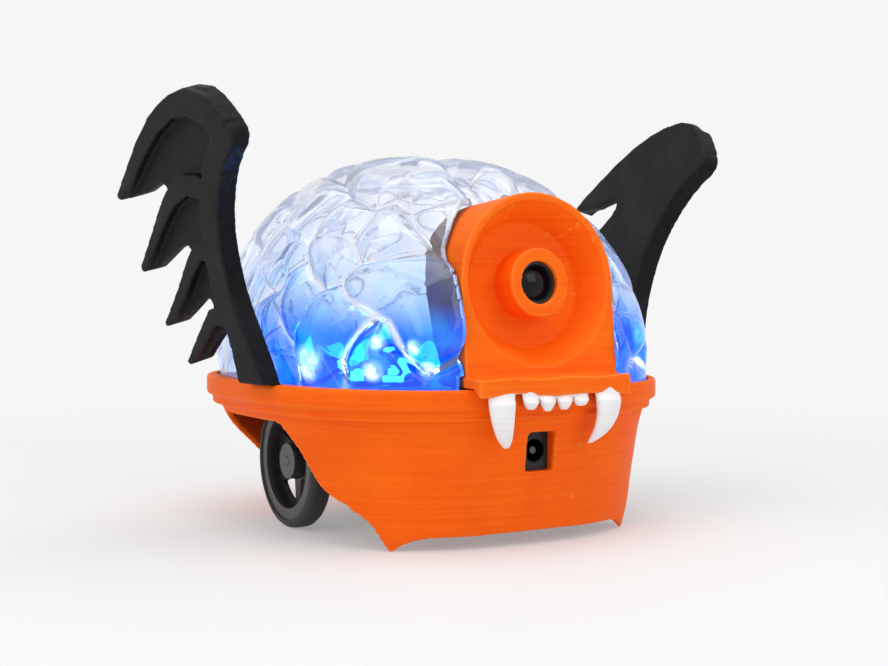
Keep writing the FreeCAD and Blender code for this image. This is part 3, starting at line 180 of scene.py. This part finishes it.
def printed(name, dark, light, rough, axis="Z", period=0.0003, depth=0.00005, tint=None, spec=0.5, edge=None):
    """Printed plastic: fine layer lines, slightly uneven layers, mottled colour, paler edges."""
    m = Mat(name)
    line = m.wave(period, axis, 0.6)
    k = {"X": (1400, 25, 25), "Y": (25, 1400, 25), "Z": (25, 25, 1400)}[axis]
    uneven = m.noise(1.0, 2.0, m.at(scale=k))
    blotch = m.noise(70.0, 4.0)
    fine = m.noise(2400.0, 2.0)
    mix = m.math("ADD", m.math("MULTIPLY", uneven, 0.55), m.math("MULTIPLY", blotch, 0.45))
    col = m.ramp(mix, [(0.30, dark), (0.66, light)])
    geo = m.n("ShaderNodeNewGeometry")
    pale_edge = m.span(geo.outputs["Pointiness"], 0.505, 0.56)
    e = m.n("ShaderNodeMix", data_type="RGBA")
    m.l(m.math("MULTIPLY", pale_edge, 0.55), e.inputs[0])
    m.l(col, e.inputs[6])
    e.inputs[7].default_value = tuple(edge or [min(1, c * 1.25 + 0.02) for c in light]) + (1,)
    m.l(e.outputs[2], m.b.inputs["Base Color"])
    r = m.span(blotch, 0.3, 0.7, rough - 0.07, rough + 0.08)
    m.l(r, m.b.inputs["Roughness"])
    h = m.math("ADD", m.math("MULTIPLY", line, 0.55), m.math("ADD", m.math("MULTIPLY", uneven, 0.9), m.math("MULTIPLY", fine, 0.12)))
    m.bump(h, 0.75, depth)
    m.b.inputs["Specular IOR Level"].default_value = spec
    return m


orange = printed("orange_print", (0.90, 0.100, 0.0015), (1.0, 0.150, 0.004), 0.52, spec=0.09, edge=(1.0, 0.22, 0.02))
orange_mask = printed("orange_mask", (0.93, 0.115, 0.0015), (1.0, 0.170, 0.005), 0.50, spec=0.10, edge=(1.0, 0.27, 0.04), depth=0.00005)
black_wing = printed("black_print", (0.0045, 0.0045, 0.005), (0.012, 0.012, 0.0135), 0.52, axis="Y", period=0.00042, depth=0.00010, spec=0.10, edge=(0.030, 0.030, 0.032))
black_part = printed("black_print_part", (0.012, 0.012, 0.013), (0.028, 0.028, 0.03), 0.5)
white_deck = printed("white_print_deck", (0.62, 0.62, 0.64), (0.8, 0.8, 0.82), 0.5, depth=0.00003)
teeth_m = printed("white_print", (0.80, 0.80, 0.82), (0.90, 0.90, 0.91), 0.38, depth=0.000012, edge=(0.95, 0.95, 0.95))
teeth_m.b.inputs["Subsurface Weight"].default_value = 0.15
teeth_m.b.inputs["Subsurface Radius"].default_value = (0.002, 0.002, 0.002)


def plain(name, a, b, rough, metal=0.0, grain=900.0, depth=0.00002, coat=0.0, stretch=(1, 1, 1), spread=0.08):
    """A moulded or metal surface: mottled colour, uneven gloss, fine grain and paler edges."""
    m = Mat(name)
    blotch = m.noise(120.0, 3.0)
    g = m.noise(grain, 3.0, m.at(scale=stretch))
    col = m.ramp(m.math("ADD", m.math("MULTIPLY", blotch, 0.6), m.math("MULTIPLY", g, 0.4)), [(0.3, a), (0.7, b)])
    geo = m.n("ShaderNodeNewGeometry")
    e = m.n("ShaderNodeMix", data_type="RGBA")
    m.l(m.math("MULTIPLY", m.span(geo.outputs["Pointiness"], 0.505, 0.57), 0.5), e.inputs[0])
    m.l(col, e.inputs[6])
    e.inputs[7].default_value = tuple(min(1, c * 1.4 + 0.03) for c in b) + (1,)
    m.l(e.outputs[2], m.b.inputs["Base Color"])
    m.l(m.span(g, 0.3, 0.7, max(0.03, rough - spread), rough + spread), m.b.inputs["Roughness"])
    m.bump(g, 0.4, depth)
    m.set(Metallic=metal)
    m.b.inputs["Coat Weight"].default_value = coat
    return m


wheel_m = plain("black_wheel_plastic", (0.010, 0.010, 0.010), (0.024, 0.024, 0.025), 0.38, grain=1400)
tyre_m = plain("tyre_rubber", (0.008, 0.008, 0.008), (0.022, 0.021, 0.020), 0.72, grain=2200, depth=0.00006)
steel_m = plain("steel", (0.42, 0.42, 0.43), (0.62, 0.62, 0.63), 0.28, 1.0, grain=300, stretch=(1, 12, 12))
brass_m = plain("brass", (0.62, 0.43, 0.14), (0.80, 0.60, 0.24), 0.27, 1.0, grain=500)
tin_m = plain("tinned", (0.62, 0.62, 0.63), (0.80, 0.80, 0.81), 0.16, 1.0, grain=400)
moulded_m = plain("black_moulded", (0.008, 0.008, 0.009), (0.020, 0.020, 0.022), 0.22, grain=1800)
nylon_m = plain("white_nylon", (0.66, 0.65, 0.60), (0.82, 0.81, 0.76), 0.42)
sleeve_m = plain("battery_sleeve", (0.010, 0.045, 0.20), (0.025, 0.09, 0.34), 0.25, coat=0.5)
red_m = plain("wire_red", (0.36, 0.008, 0.008), (0.52, 0.015, 0.012), 0.36)
wblack_m = plain("wire_black", (0.010, 0.010, 0.010), (0.022, 0.022, 0.022), 0.36)
board_m = plain("circuit_board", (0.006, 0.014, 0.030), (0.014, 0.030, 0.055), 0.3, grain=700, coat=0.3)

# light packages: white body with a hot blue-white window
light_m = Mat("light_package")
cells = light_m.noise(500.0, 2.0)
light_m.l(light_m.ramp(cells, [(0.3, (0.75, 0.85, 1.0)), (0.7, (0.95, 0.97, 1.0))]), light_m.b.inputs["Base Color"])
light_m.set(Roughness=0.3)
light_m.b.inputs["Emission Color"].default_value = (0.45, 0.75, 1.0, 1)
light_m.b.inputs["Emission Strength"].default_value = 14.0
light_m.bump(cells, 0.3, 0.00003)

# the eye's lens: dark coated glass
lens_m = Mat("lens_glass")
sw = lens_m.noise(260.0, 2.0)
lens_m.l(lens_m.ramp(sw, [(0.3, (0.001, 0.001, 0.002)), (0.7, (0.004, 0.003, 0.006))]), lens_m.b.inputs["Base Color"])
lens_m.set(Roughness=0.04)
lens_m.b.inputs["Coat Weight"].default_value = 0.12
lens_m.b.inputs["Specular IOR Level"].default_value = 0.15
lens_m.b.inputs["Coat Roughness"].default_value = 0.03
lens_m.bump(sw, 0.05, 0.00001)

# clear moulded plastic, lit from inside near its foot; that blue light is painted on as a tint and an emission, with
# painted hot spots and a faint painted white glow
clear = Mat("clear_plastic")
clear.set(Roughness=0.02, IOR=1.47)
clear.b.inputs["Transmission Weight"].default_value = 1.0
soft = clear.noise(55.0, 3.0)
tiny = clear.noise(420.0, 3.0)
fold = clear.n("ShaderNodeAttribute", attribute_name="fold").outputs["Fac"]
z = clear.axis(2)
# painted blue glow: a mask low on the dome, towards the front and on the bulges, standing in for the inside lights
low = clear.span(z, 0.058, 0.102, 1.0, 0.0)
patch = clear.span(clear.noise(38.0, 2.0), 0.32, 0.58, 0.25, 1.0)
front = clear.span(clear.axis(1), 0.040, -0.010, 0.10, 1.0)
bulge = clear.span(fold, 0.10, 0.50, 0.10, 1.0)
painted_glow = clear.math("MULTIPLY", clear.math("MULTIPLY", low, patch), clear.math("MULTIPLY", front, bulge))
# painted deep-blue glow at the very foot of the dome, towards the front
deep = clear.math("MULTIPLY", clear.math("MULTIPLY", clear.span(z, 0.058, 0.071, 1.0, 0.0), clear.span(clear.axis(1), 0.020, -0.025, 0.0, 1.0)), clear.span(fold, 0.08, 0.40, 0.15, 1.0))
# the clear plastic's colour is painted blue where these glow masks lie
t1 = clear.n("ShaderNodeMix", data_type="RGBA")
clear.l(painted_glow, t1.inputs[0])
clear.l(clear.ramp(soft, [(0.3, (0.95, 0.955, 1.0)), (0.7, (0.99, 0.99, 1.0))]), t1.inputs[6])
t1.inputs[7].default_value = (0.46, 0.76, 1.0, 1)
t2 = clear.n("ShaderNodeMix", data_type="RGBA")
clear.l(deep, t2.inputs[0])
clear.l(t1.outputs[2], t2.inputs[6])
t2.inputs[7].default_value = (0.02, 0.20, 1.0, 1)
clear.l(t2.outputs[2], clear.b.inputs["Base Color"])
clear.bump(clear.math("ADD", soft, clear.math("MULTIPLY", tiny, 0.10)), 0.30, 0.0003)


def painted_spot(x, y, z, r):
    """A painted soft round bright patch, an emission where a light would shine through."""
    v = clear.n("ShaderNodeVectorMath", operation="DISTANCE")
    clear.l(clear.tc.outputs["Object"], v.inputs[0])
    v.inputs[1].default_value = (x, y + S - 0.00252, z)
    return clear.span(v.outputs["Value"], r, r * 0.35, 0.0, 1.0)


# painted hot spots of light on the dome
painted_spots = None
for sx, sy, sz, r in ((-0.0554, -0.0305, 0.0512, 0.0068), (-0.0461, -0.0503, 0.0500, 0.0042), (-0.0450, -0.0505, 0.0570, 0.0030), (-0.0371, -0.0570, 0.0560, 0.0032), (-0.0345, -0.0590, 0.0500, 0.0030),
                      (0.0554, -0.0305, 0.0512, 0.0060), (0.0371, -0.0560, 0.0586, 0.0040), (0.0440, -0.0515, 0.0500, 0.0040), (0.050, 0.040, 0.0500, 0.0050), (-0.050, 0.042, 0.0500, 0.0050), (0.0, 0.067, 0.0500, 0.0050)):
    p = painted_spot(sx, sy, sz, r)
    painted_spots = p if painted_spots is None else clear.math("MAXIMUM", painted_spots, p)
painted_spots = clear.math("MULTIPLY", painted_spots, clear.span(clear.noise(260.0, 2.0), 0.38, 0.62, 0.35, 1.0))
# painted glow: a blue emission on the lower dome and white-blue hot spots, though the dome is no lamp
em = clear.n("ShaderNodeEmission")
ecol = clear.n("ShaderNodeMix", data_type="RGBA")
clear.l(painted_spots, ecol.inputs[0])
clear.l(clear.ramp(clear.noise(85.0, 2.0), [(0.36, (0.0, 0.040, 0.50)), (0.52, (0.0, 0.105, 0.90)), (0.70, (0.02, 0.36, 1.0))]), ecol.inputs[6])
ecol.inputs[7].default_value = (0.80, 0.95, 1.0, 1)
clear.l(ecol.outputs[2], em.inputs["Color"])
clear.l(clear.math("ADD", clear.math("MULTIPLY", clear.math("MAXIMUM", clear.math("MULTIPLY", painted_glow, 0.20), deep), 0.46), clear.math("MULTIPLY", painted_spots, 0.85)), em.inputs["Strength"])
haze = clear.n("ShaderNodeBsdfTranslucent")
haze.inputs["Color"].default_value = (0.96, 0.97, 1.0, 1)
lw = clear.n("ShaderNodeLayerWeight")
lw.inputs["Blend"].default_value = 0.35
hm = clear.n("ShaderNodeMixShader")
clear.l(clear.math("MULTIPLY", clear.math("ADD", clear.span(soft, 0.35, 0.7, 0.03, 0.10), clear.math("MULTIPLY", clear.math("POWER", lw.outputs["Facing"], 2.5), 0.42)), clear.math("SUBTRACT", 1.0, clear.math("MULTIPLY", deep, 0.85))), hm.inputs[0])
clear.l(clear.b.outputs[0], hm.inputs[1])
clear.l(haze.outputs[0], hm.inputs[2])
ad = clear.n("ShaderNodeAddShader")
clear.l(hm.outputs[0], ad.inputs[0])
clear.l(em.outputs[0], ad.inputs[1])
# painted white glow: a faint white emission over the dome away from the blue glow, to whiten it
painted_white_glow = clear.n("ShaderNodeEmission")
painted_white_glow.inputs["Color"].default_value = (0.93, 0.96, 1.0, 1)
clear.l(clear.math("MULTIPLY", clear.math("SUBTRACT", 1.0, clear.math("MAXIMUM", deep, painted_glow)), 0.040), painted_white_glow.inputs["Strength"])
ad2 = clear.n("ShaderNodeAddShader")
clear.l(ad.outputs[0], ad2.inputs[0])
clear.l(painted_white_glow.outputs[0], ad2.inputs[1])
clear.l(ad2.outputs[0], clear.out.inputs["Surface"])

barrel_m = plain("lens_black", (0.002, 0.002, 0.002), (0.006, 0.006, 0.006), 0.3, grain=1800)
barrel_m.b.inputs["Specular IOR Level"].default_value = 0.25
FINISH = {"orange_print": orange, "black_print": black_part, "white_print": white_deck, "clear_plastic": clear, "black_wheel_plastic": wheel_m, "tyre_rubber": tyre_m, "steel": steel_m, "brass": brass_m,
          "circuit_board": board_m, "black_moulded": moulded_m, "white_nylon": nylon_m, "battery_sleeve": sleeve_m, "light_package": light_m, "wire_red": red_m, "wire_black": wblack_m, "lens_glass": lens_m, "tinned": tin_m}


def paint(o, mat):
    o.data.materials.clear()
    o.data.materials.append(mat.m)
    return o


for sp in frame["record"]["subparts"]:
    paint(nodes[sp["node"]], FINISH[sp["material_slot"]])
for nm in ("lens_barrel", "camera_holder", "jack_body"):
    paint(nodes[nm], barrel_m)
# painted shade: the output shafts and jack pins get a near-black steel in place of their bright steel and tin
steel_painted_shade_m = plain("steel_painted_shade", (0.035, 0.035, 0.037), (0.070, 0.070, 0.072), 0.42, 0.6, grain=400)
for nm in nodes:
    if nm.startswith("output_shaft") or nm.startswith("jack_pin"):
        paint(nodes[nm], steel_painted_shade_m)


# ---------------------------------------------------------------- rounded copies of the printed pieces
def mesh_from(o):
    dg = bpy.context.evaluated_depsgraph_get()
    return bpy.data.meshes.new_from_object(o.evaluated_get(dg))


def rounded(node, name, voxel, passes, mat, body, keep=None, shape=None, sub=0):
    """A fine, soft-edged mesh of a printed piece, as the printer leaves it."""
    src = bpy.data.objects.new("tmp_" + name, nodes[node].data.copy())
    link(src)
    r = src.modifiers.new("r", "REMESH")
    r.mode = "VOXEL"
    r.voxel_size = voxel
    bpy.context.view_layer.update()
    me = mesh_from(src)
    co = np.empty(len(me.vertices) * 3)
    me.vertices.foreach_get("co", co)
    co = co.reshape(-1, 3)
    ed = np.empty(len(me.edges) * 2, int)
    me.edges.foreach_get("vertices", ed)
    ed = ed.reshape(-1, 2)
    deg = np.bincount(ed.ravel(), minlength=len(co)).astype(float)[:, None]
    w = np.ones((len(co), 1)) if keep is None else keep(co)[:, None]

    def avg(p):
        s = np.zeros_like(p)
        for k in range(3):
            s[:, k] = np.bincount(ed[:, 0], weights=p[ed[:, 1], k], minlength=len(p)) + np.bincount(ed[:, 1], weights=p[ed[:, 0], k], minlength=len(p))
        return s / deg
    p = co.copy()
    for _ in range(passes):
        p = p + 0.55 * w * (avg(p) - p)
        p = p - 0.50 * w * (avg(p) - p) * 0.75
    if shape is not None:
        p = shape(p)
    lo, hi = np.array(cad_box[0]) + 2e-6, np.array(cad_box[1]) - 2e-6
    p = np.minimum(np.maximum(p, lo), hi)
    me.vertices.foreach_set("co", p.ravel())
    me.update()
    o = bpy.data.objects.new(name, me)
    link(o)
    for f in me.polygons:
        f.use_smooth = True
    bpy.data.objects.remove(src)
    paint(o, mat)
    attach(o, body)
    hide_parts(node)
    return o


def step(v, a, b):
    t = np.clip((v - a) / (b - a), 0, 1)
    return t * t * (3 - 2 * t)


def lip_shape(p):
    """The mask's lower lip: a rounded, slightly wavy bead that droops over the roots of the teeth."""
    q = p.copy()
    x, y, z = p[:, 0], p[:, 1] - S, p[:, 2]
    low = step(z, 0.0495, 0.0476)
    out = step(y, -0.0694, -0.0712) * low
    q[:, 1] -= out * (0.0014 + 0.0003 * np.sin(x / 0.0048 + 0.6))
    under = step(z, 0.0468, 0.0452) * step(y, -0.0696, -0.0710)
    q[:, 2] -= under * (0.0022 + 0.00035 * np.sin(x / 0.0041 + 1.3) + 0.0004 * x / 0.025)
    q[:, 2] += low * out * 0.0002 * np.sin(x / 0.0030)
    ends = step(np.abs(x), 0.0235, 0.0252) * low * step(y, -0.0660, -0.0680)
    q[:, 0] -= ends * np.sign(x) * 0.0006
    return q


def root_shape(p):
    """The teeth thin out at their roots, where they go in under the lip."""
    q = p.copy()
    y = p[:, 1] - S
    root = step(p[:, 2], 0.0408, 0.0426)
    q[:, 1] = S + y + root * ((-0.0717 + (y + 0.0717) * 0.40) - y)
    return q


rounded("hull", "hull_print", 0.00055, 3, orange, "chassis", keep=lambda c: np.clip((c[:, 2] - 0.001) / 0.004, 0.0, 1))
rounded("eye_mask", "mask_print", 0.00042, 5, orange_mask, "chassis", shape=lip_shape)
rounded("teeth", "teeth_print", 0.00024, 6, teeth_m, "chassis", shape=root_shape)
for s in ("left", "right"):
    rounded("wing_" + s, "wing_print_" + s, 0.00042, 8, black_wing, "chassis")


# ---------------------------------------------------------------- the clear dome: two lobes of folded ridges
def dome():
    lo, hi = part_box("dome")
    half_w = (hi.x - lo.x) / 2
    z0, height = lo.z, 0.0686
    yc = S - 0.001
    length = 0.0673
    power, up = 2.9, 2.33
    rows, cols = 250, 820
    phi = np.linspace(0, 1, rows) ** 1.0 * (math.pi / 2 - 0.02)
    t = np.linspace(-math.pi / 2, 1.5 * math.pi, 6001)
    P = np.zeros((rows, cols, 3))
    for j, f in enumerate(phi):
        k, s = math.sin(f) ** (2 / up), math.cos(f) ** (2 / up)
        p = power - 0.5 * k
        c, d = np.cos(t), np.sin(t)
        x = half_w * s * np.sign(c) * np.abs(c) ** (2 / p)
        y = yc + 0.005 * k + length * s * np.sign(d) * np.abs(d) ** (2 / p)
        arc = np.concatenate([[0], np.cumsum(np.hypot(np.diff(x), np.diff(y)))])
        u = np.arange(cols) / cols * arc[-1]
        P[j, :, 0] = np.interp(u, arc, x)
        P[j, :, 1] = np.interp(u, arc, y)
        P[j, :, 2] = z0 + k * height
    du = np.roll(P, -1, 1) - np.roll(P, 1, 1)
    dv = np.gradient(P, axis=0)
    n = np.cross(du, dv)
    n /= np.maximum(np.linalg.norm(n, axis=2, keepdims=True), 1e-12)
    # folds: cells that join in twos and threes into curled ridges, with a groove between groups
    rng = np.random.default_rng(23)
    q = P.copy()
    q += 0.0026 * np.sin(q[..., [1, 2, 0]] / 0.0062 + 0.7) + 0.0011 * np.sin(q[..., [2, 0, 1]] / 0.0029 + 1.9)
    pool = P.reshape(-1, 3)
    area_w = np.linalg.norm(np.cross(du, dv), axis=2).reshape(-1)
    area_w /= area_w.sum()
    seeds = []
    for i in rng.choice(len(pool), 9000, p=area_w):
        c = pool[i]
        if abs(c[0]) < 0.0065:
            continue
        if all(np.linalg.norm(c - e) > 0.0158 for e in seeds):
            seeds.append(c)
    seeds = np.array(seeds)
    group = -np.ones(len(seeds), int)
    made = 0
    for i in range(len(seeds)):
        if group[i] >= 0:
            continue
        group[i] = made
        want = int(rng.integers(1, 4))
        last = i
        for _ in range(want):
            d = np.linalg.norm(seeds - seeds[last], axis=1)
            free = [k for k in np.argsort(d) if group[k] < 0 and d[k] < 0.0245 and seeds[k][0] * seeds[i][0] > 0]
            if not free:
                break
            last = free[0]
            group[last] = made
        made += 1
    flatq = q.reshape(-1, 3)
    f1 = np.full(len(flatq), 9.0)
    f2 = np.full(len(flatq), 9.0)
    for k in range(made):
        d = np.full(len(flatq), 9.0)
        for c in seeds[group == k]:
            d = np.minimum(d, np.sqrt(((flatq - c) ** 2).sum(1)))
        f2 = np.where(d < f1, f1, np.minimum(f2, d))
        f1 = np.minimum(f1, d)
    e = (f2 - f1).reshape(P.shape[:2])
    e = np.sqrt(e * e + 0.0007 ** 2) - 0.0007
    b = 1 - (1 - np.clip(e / 0.0140, 0, 1)) ** 2.4
    zz = P[..., 2] - z0
    foot = np.clip(zz / 0.010, 0, 1) ** 1.2
    deep = 0.0052 * (1 - b)
    cleft = 0.0058 * np.exp(-(P[..., 0] / 0.0042) ** 2) * np.clip((zz - 0.030) / 0.028, 0, 1)
    near = np.exp(-((np.abs(P[..., 0]) - 0.028) / 0.013) ** 2) * (P[..., 1] < S - 0.02) * np.clip(zz / 0.015, 0, 1) * np.clip((0.052 - zz) / 0.02, 0, 1)
    grow = (0.0016 + 0.0030 * near) * foot
    disp = (deep + cleft) * (0.15 + 0.85 * foot) - grow
    outer = P - n * disp[..., None]
    inner = P - n * (disp * 0.80 + 0.0015)[..., None]
    inner[..., 2] = np.maximum(inner[..., 2], z0)
    inner[0, :, 2] = z0
    outer[0, :, 2] = z0
    eye_z, back, half = 0.0734, S - 0.0364, 0.0259

    def in_slot(v):
        x, y, zc = np.abs(v[..., 0]), v[..., 1], v[..., 2]
        wide = np.where(zc < 0.0484, 0.0272, half)
        a = (zc < eye_z) & (x < wide)
        c = (zc >= eye_z) & (x * x + (zc - eye_z) ** 2 < half * half)
        return (a | c) & (y < back)
    idx = np.arange(rows * cols).reshape(rows, cols)
    a, b2 = idx[:-1], np.roll(idx, -1, 1)[:-1]
    c2, d2 = np.roll(idx, -1, 1)[1:], idx[1:]
    quads = np.stack([a, b2, c2, d2], 2).reshape(-1, 4)
    flat = P.reshape(-1, 3)
    centre = flat[quads].mean(1)
    keepq = ~in_slot(centre)
    quads = quads[keepq]
    top = rows * cols
    ring = idx[-1]
    tris = np.stack([ring, np.roll(ring, -1), np.full(cols, top)], 1)
    top_out = outer[-1].mean(0)
    top_in = inner[-1].mean(0)
    total = top + 1
    edges = np.concatenate([quads[:, [0, 1]], quads[:, [1, 2]], quads[:, [2, 3]], quads[:, [3, 0]], tris[:, [0, 1]]])
    key = np.sort(edges, 1)
    k1 = key[:, 0].astype(np.int64) * total + key[:, 1]
    uniq, first, count = np.unique(k1, return_index=True, return_counts=True)
    border = edges[first[count == 1]]
    # the slot's edge follows the mask's outline
    bv = np.unique(border)
    for arr in (outer, inner):
        v = arr.reshape(-1, 3)
        for i in bv:
            x, y, zc = v[i]
            if zc <= z0 + 1e-6 and abs(x) > 0.029:
                continue
            if y > back + 0.002:
                continue
            if zc < eye_z:
                w = 0.0272 if zc < 0.0484 else half
                if abs(abs(x) - w) < 0.0016:
                    v[i, 0] = math.copysign(w, x)
            else:
                r = math.hypot(x, zc - eye_z)
                if abs(r - half) < 0.0016:
                    v[i, 0] = x / r * half
                    v[i, 2] = eye_z + (zc - eye_z) / r * half
    V = np.concatenate([outer.reshape(-1, 3), [top_out], inner.reshape(-1, 3), [top_in]])
    F = [list(map(int, f)) for f in quads] + [list(map(int, f)) for f in tris]
    F += [[int(k) + total for k in f[::-1]] for f in quads] + [[int(k) + total for k in f[::-1]] for f in tris]
    F += [[int(e[1]), int(e[0]), int(e[0]) + total, int(e[1]) + total] for e in border]
    me = bpy.data.meshes.new("brain_dome")
    me.from_pydata([tuple(v) for v in V], [], F)
    fold = np.concatenate([b.reshape(-1), [1.0], b.reshape(-1), [1.0]]).astype(np.float32)
    me.attributes.new("fold", "FLOAT", "POINT").data.foreach_set("value", fold)
    bm = bmesh.new()
    bm.from_mesh(me)
    bmesh.ops.delete(bm, geom=[v for v in bm.verts if not v.link_faces], context="VERTS")
    bmesh.ops.recalc_face_normals(bm, faces=bm.faces[:])
    bm.to_mesh(me)
    bm.free()
    for f in me.polygons:
        f.use_smooth = True
    o = link(bpy.data.objects.new("brain_dome", me))
    paint(o, clear)
    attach(o, "dome_cover")
    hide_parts("dome")
    return o


dome()

# ---------------------------------------------------------------- floor and light
BACK = (0.925, 0.922, 0.922, 1)
floor_m = Mat("floor")
fn = floor_m.noise(6.0, 4.0)
floor_m.l(floor_m.ramp(fn, [(0.3, (0.77, 0.775, 0.78)), (0.7, (0.80, 0.805, 0.81))]), floor_m.b.inputs["Base Color"])
floor_m.l(floor_m.span(fn, 0.3, 0.7, 0.62, 0.72), floor_m.b.inputs["Roughness"])
floor_m.b.inputs["Specular IOR Level"].default_value = 0.2
fx, fy = floor_m.axis(0), floor_m.axis(1)
rad = floor_m.math("SQRT", floor_m.math("ADD", floor_m.math("MULTIPLY", fx, fx), floor_m.math("MULTIPLY", fy, fy)))
fe = floor_m.n("ShaderNodeEmission")
fe.inputs["Color"].default_value = BACK
fe.inputs["Strength"].default_value = 1.0
fmix = floor_m.n("ShaderNodeMixShader")
floor_m.l(floor_m.span(rad, 0.13, 0.50, 0.30, 1.0), fmix.inputs[0])
floor_m.l(floor_m.b.outputs[0], fmix.inputs[1])
floor_m.l(fe.outputs[0], fmix.inputs[2])
floor_m.l(fmix.outputs[0], floor_m.out.inputs["Surface"])
bm = bmesh.new()
bmesh.ops.create_circle(bm, cap_ends=True, segments=96, radius=6.0)
fm = bpy.data.meshes.new("floor")
bm.to_mesh(fm)
bm.free()
floor = link(bpy.data.objects.new("floor", fm))
floor.location = (0, 0, -0.00002)
paint(floor, floor_m)

w = bpy.data.worlds.new("world")
scene.world = w
w.use_nodes = True
wt = w.node_tree
bg = wt.nodes["Background"]
bg.inputs["Strength"].default_value = 0.78
dirn = wt.nodes.new("ShaderNodeTexCoord")
sep = wt.nodes.new("ShaderNodeSeparateXYZ")
wt.links.new(dirn.outputs["Generated"], sep.inputs[0])
sky = wt.nodes.new("ShaderNodeValToRGB")
sky.color_ramp.elements[0].position = 0.0
sky.color_ramp.elements[0].color = (0.46, 0.46, 0.47, 1)
sky.color_ramp.elements[1].position = 0.75
sky.color_ramp.elements[1].color = (1.0, 1.0, 1.0, 1)
wt.links.new(sep.outputs[2], sky.inputs["Fac"])
wt.links.new(sky.outputs["Color"], bg.inputs["Color"])
bg2 = wt.nodes.new("ShaderNodeBackground")
bg2.inputs["Color"].default_value = BACK
bg2.inputs["Strength"].default_value = 1.0
lp = wt.nodes.new("ShaderNodeLightPath")
either = wt.nodes.new("ShaderNodeMath")
either.operation = "MAXIMUM"
wt.links.new(lp.outputs["Is Camera Ray"], either.inputs[0])
wt.links.new(lp.outputs["Is Transmission Ray"], either.inputs[1])
third = wt.nodes.new("ShaderNodeMath")
third.operation = "MAXIMUM"
wt.links.new(either.outputs[0], third.inputs[0])
wt.links.new(lp.outputs["Is Glossy Ray"], third.inputs[1])
mx = wt.nodes.new("ShaderNodeMixShader")
wt.links.new(third.outputs[0], mx.inputs[0])
wt.links.new(bg.outputs[0], mx.inputs[1])
wt.links.new(bg2.outputs[0], mx.inputs[2])
wt.links.new(mx.outputs[0], wt.nodes["World Output"].inputs["Surface"])


def area(name, loc, target, size, power, color=(1, 1, 1)):
    d = bpy.data.lights.new(name, "AREA")
    d.shape = "RECTANGLE"
    d.size, d.size_y = size
    d.energy = power
    d.color = color
    o = link(bpy.data.objects.new(name, d))
    o.location = loc
    o.rotation_euler = (Vector(target) - Vector(loc)).to_track_quat("-Z", "Y").to_euler()
    return o


area("softbox_top", (-0.05, -0.1, 0.95), (0, 0, 0.04), (0.9, 0.9), 4.3)
area("softbox_left", (-0.85, -0.25, 0.5), (0, 0, 0.05), (0.5, 0.7), 1.9)
area("softbox_front", (0.25, -0.95, 0.55), (0, 0, 0.05), (0.6, 0.5), 1.7)


def bulb(name, loc, power, color, r=0.004):
    d = bpy.data.lights.new(name, "POINT")
    d.energy = power
    d.color = color
    d.shadow_soft_size = r
    o = link(bpy.data.objects.new(name, d))
    o.location = loc
    return o


for i, ang in enumerate((200, 245, 300, 160, 20, 100)):
    a = math.radians(ang)
    bulb("glow_%d" % i, (0.0325 * math.cos(a), S + 0.003 + 0.0325 * math.sin(a), 0.0535), 0.018, (0.02, 0.22, 1.0))

scene.cycles.max_bounces = 14
scene.cycles.transmission_bounces = 12
scene.cycles.transparent_max_bounces = 12
scene.cycles.glossy_bounces = 5
scene.cycles.diffuse_bounces = 4
scene.cycles.caustics_reflective = False
scene.cycles.caustics_refractive = False
scene.cycles.sample_clamp_indirect = 4.0
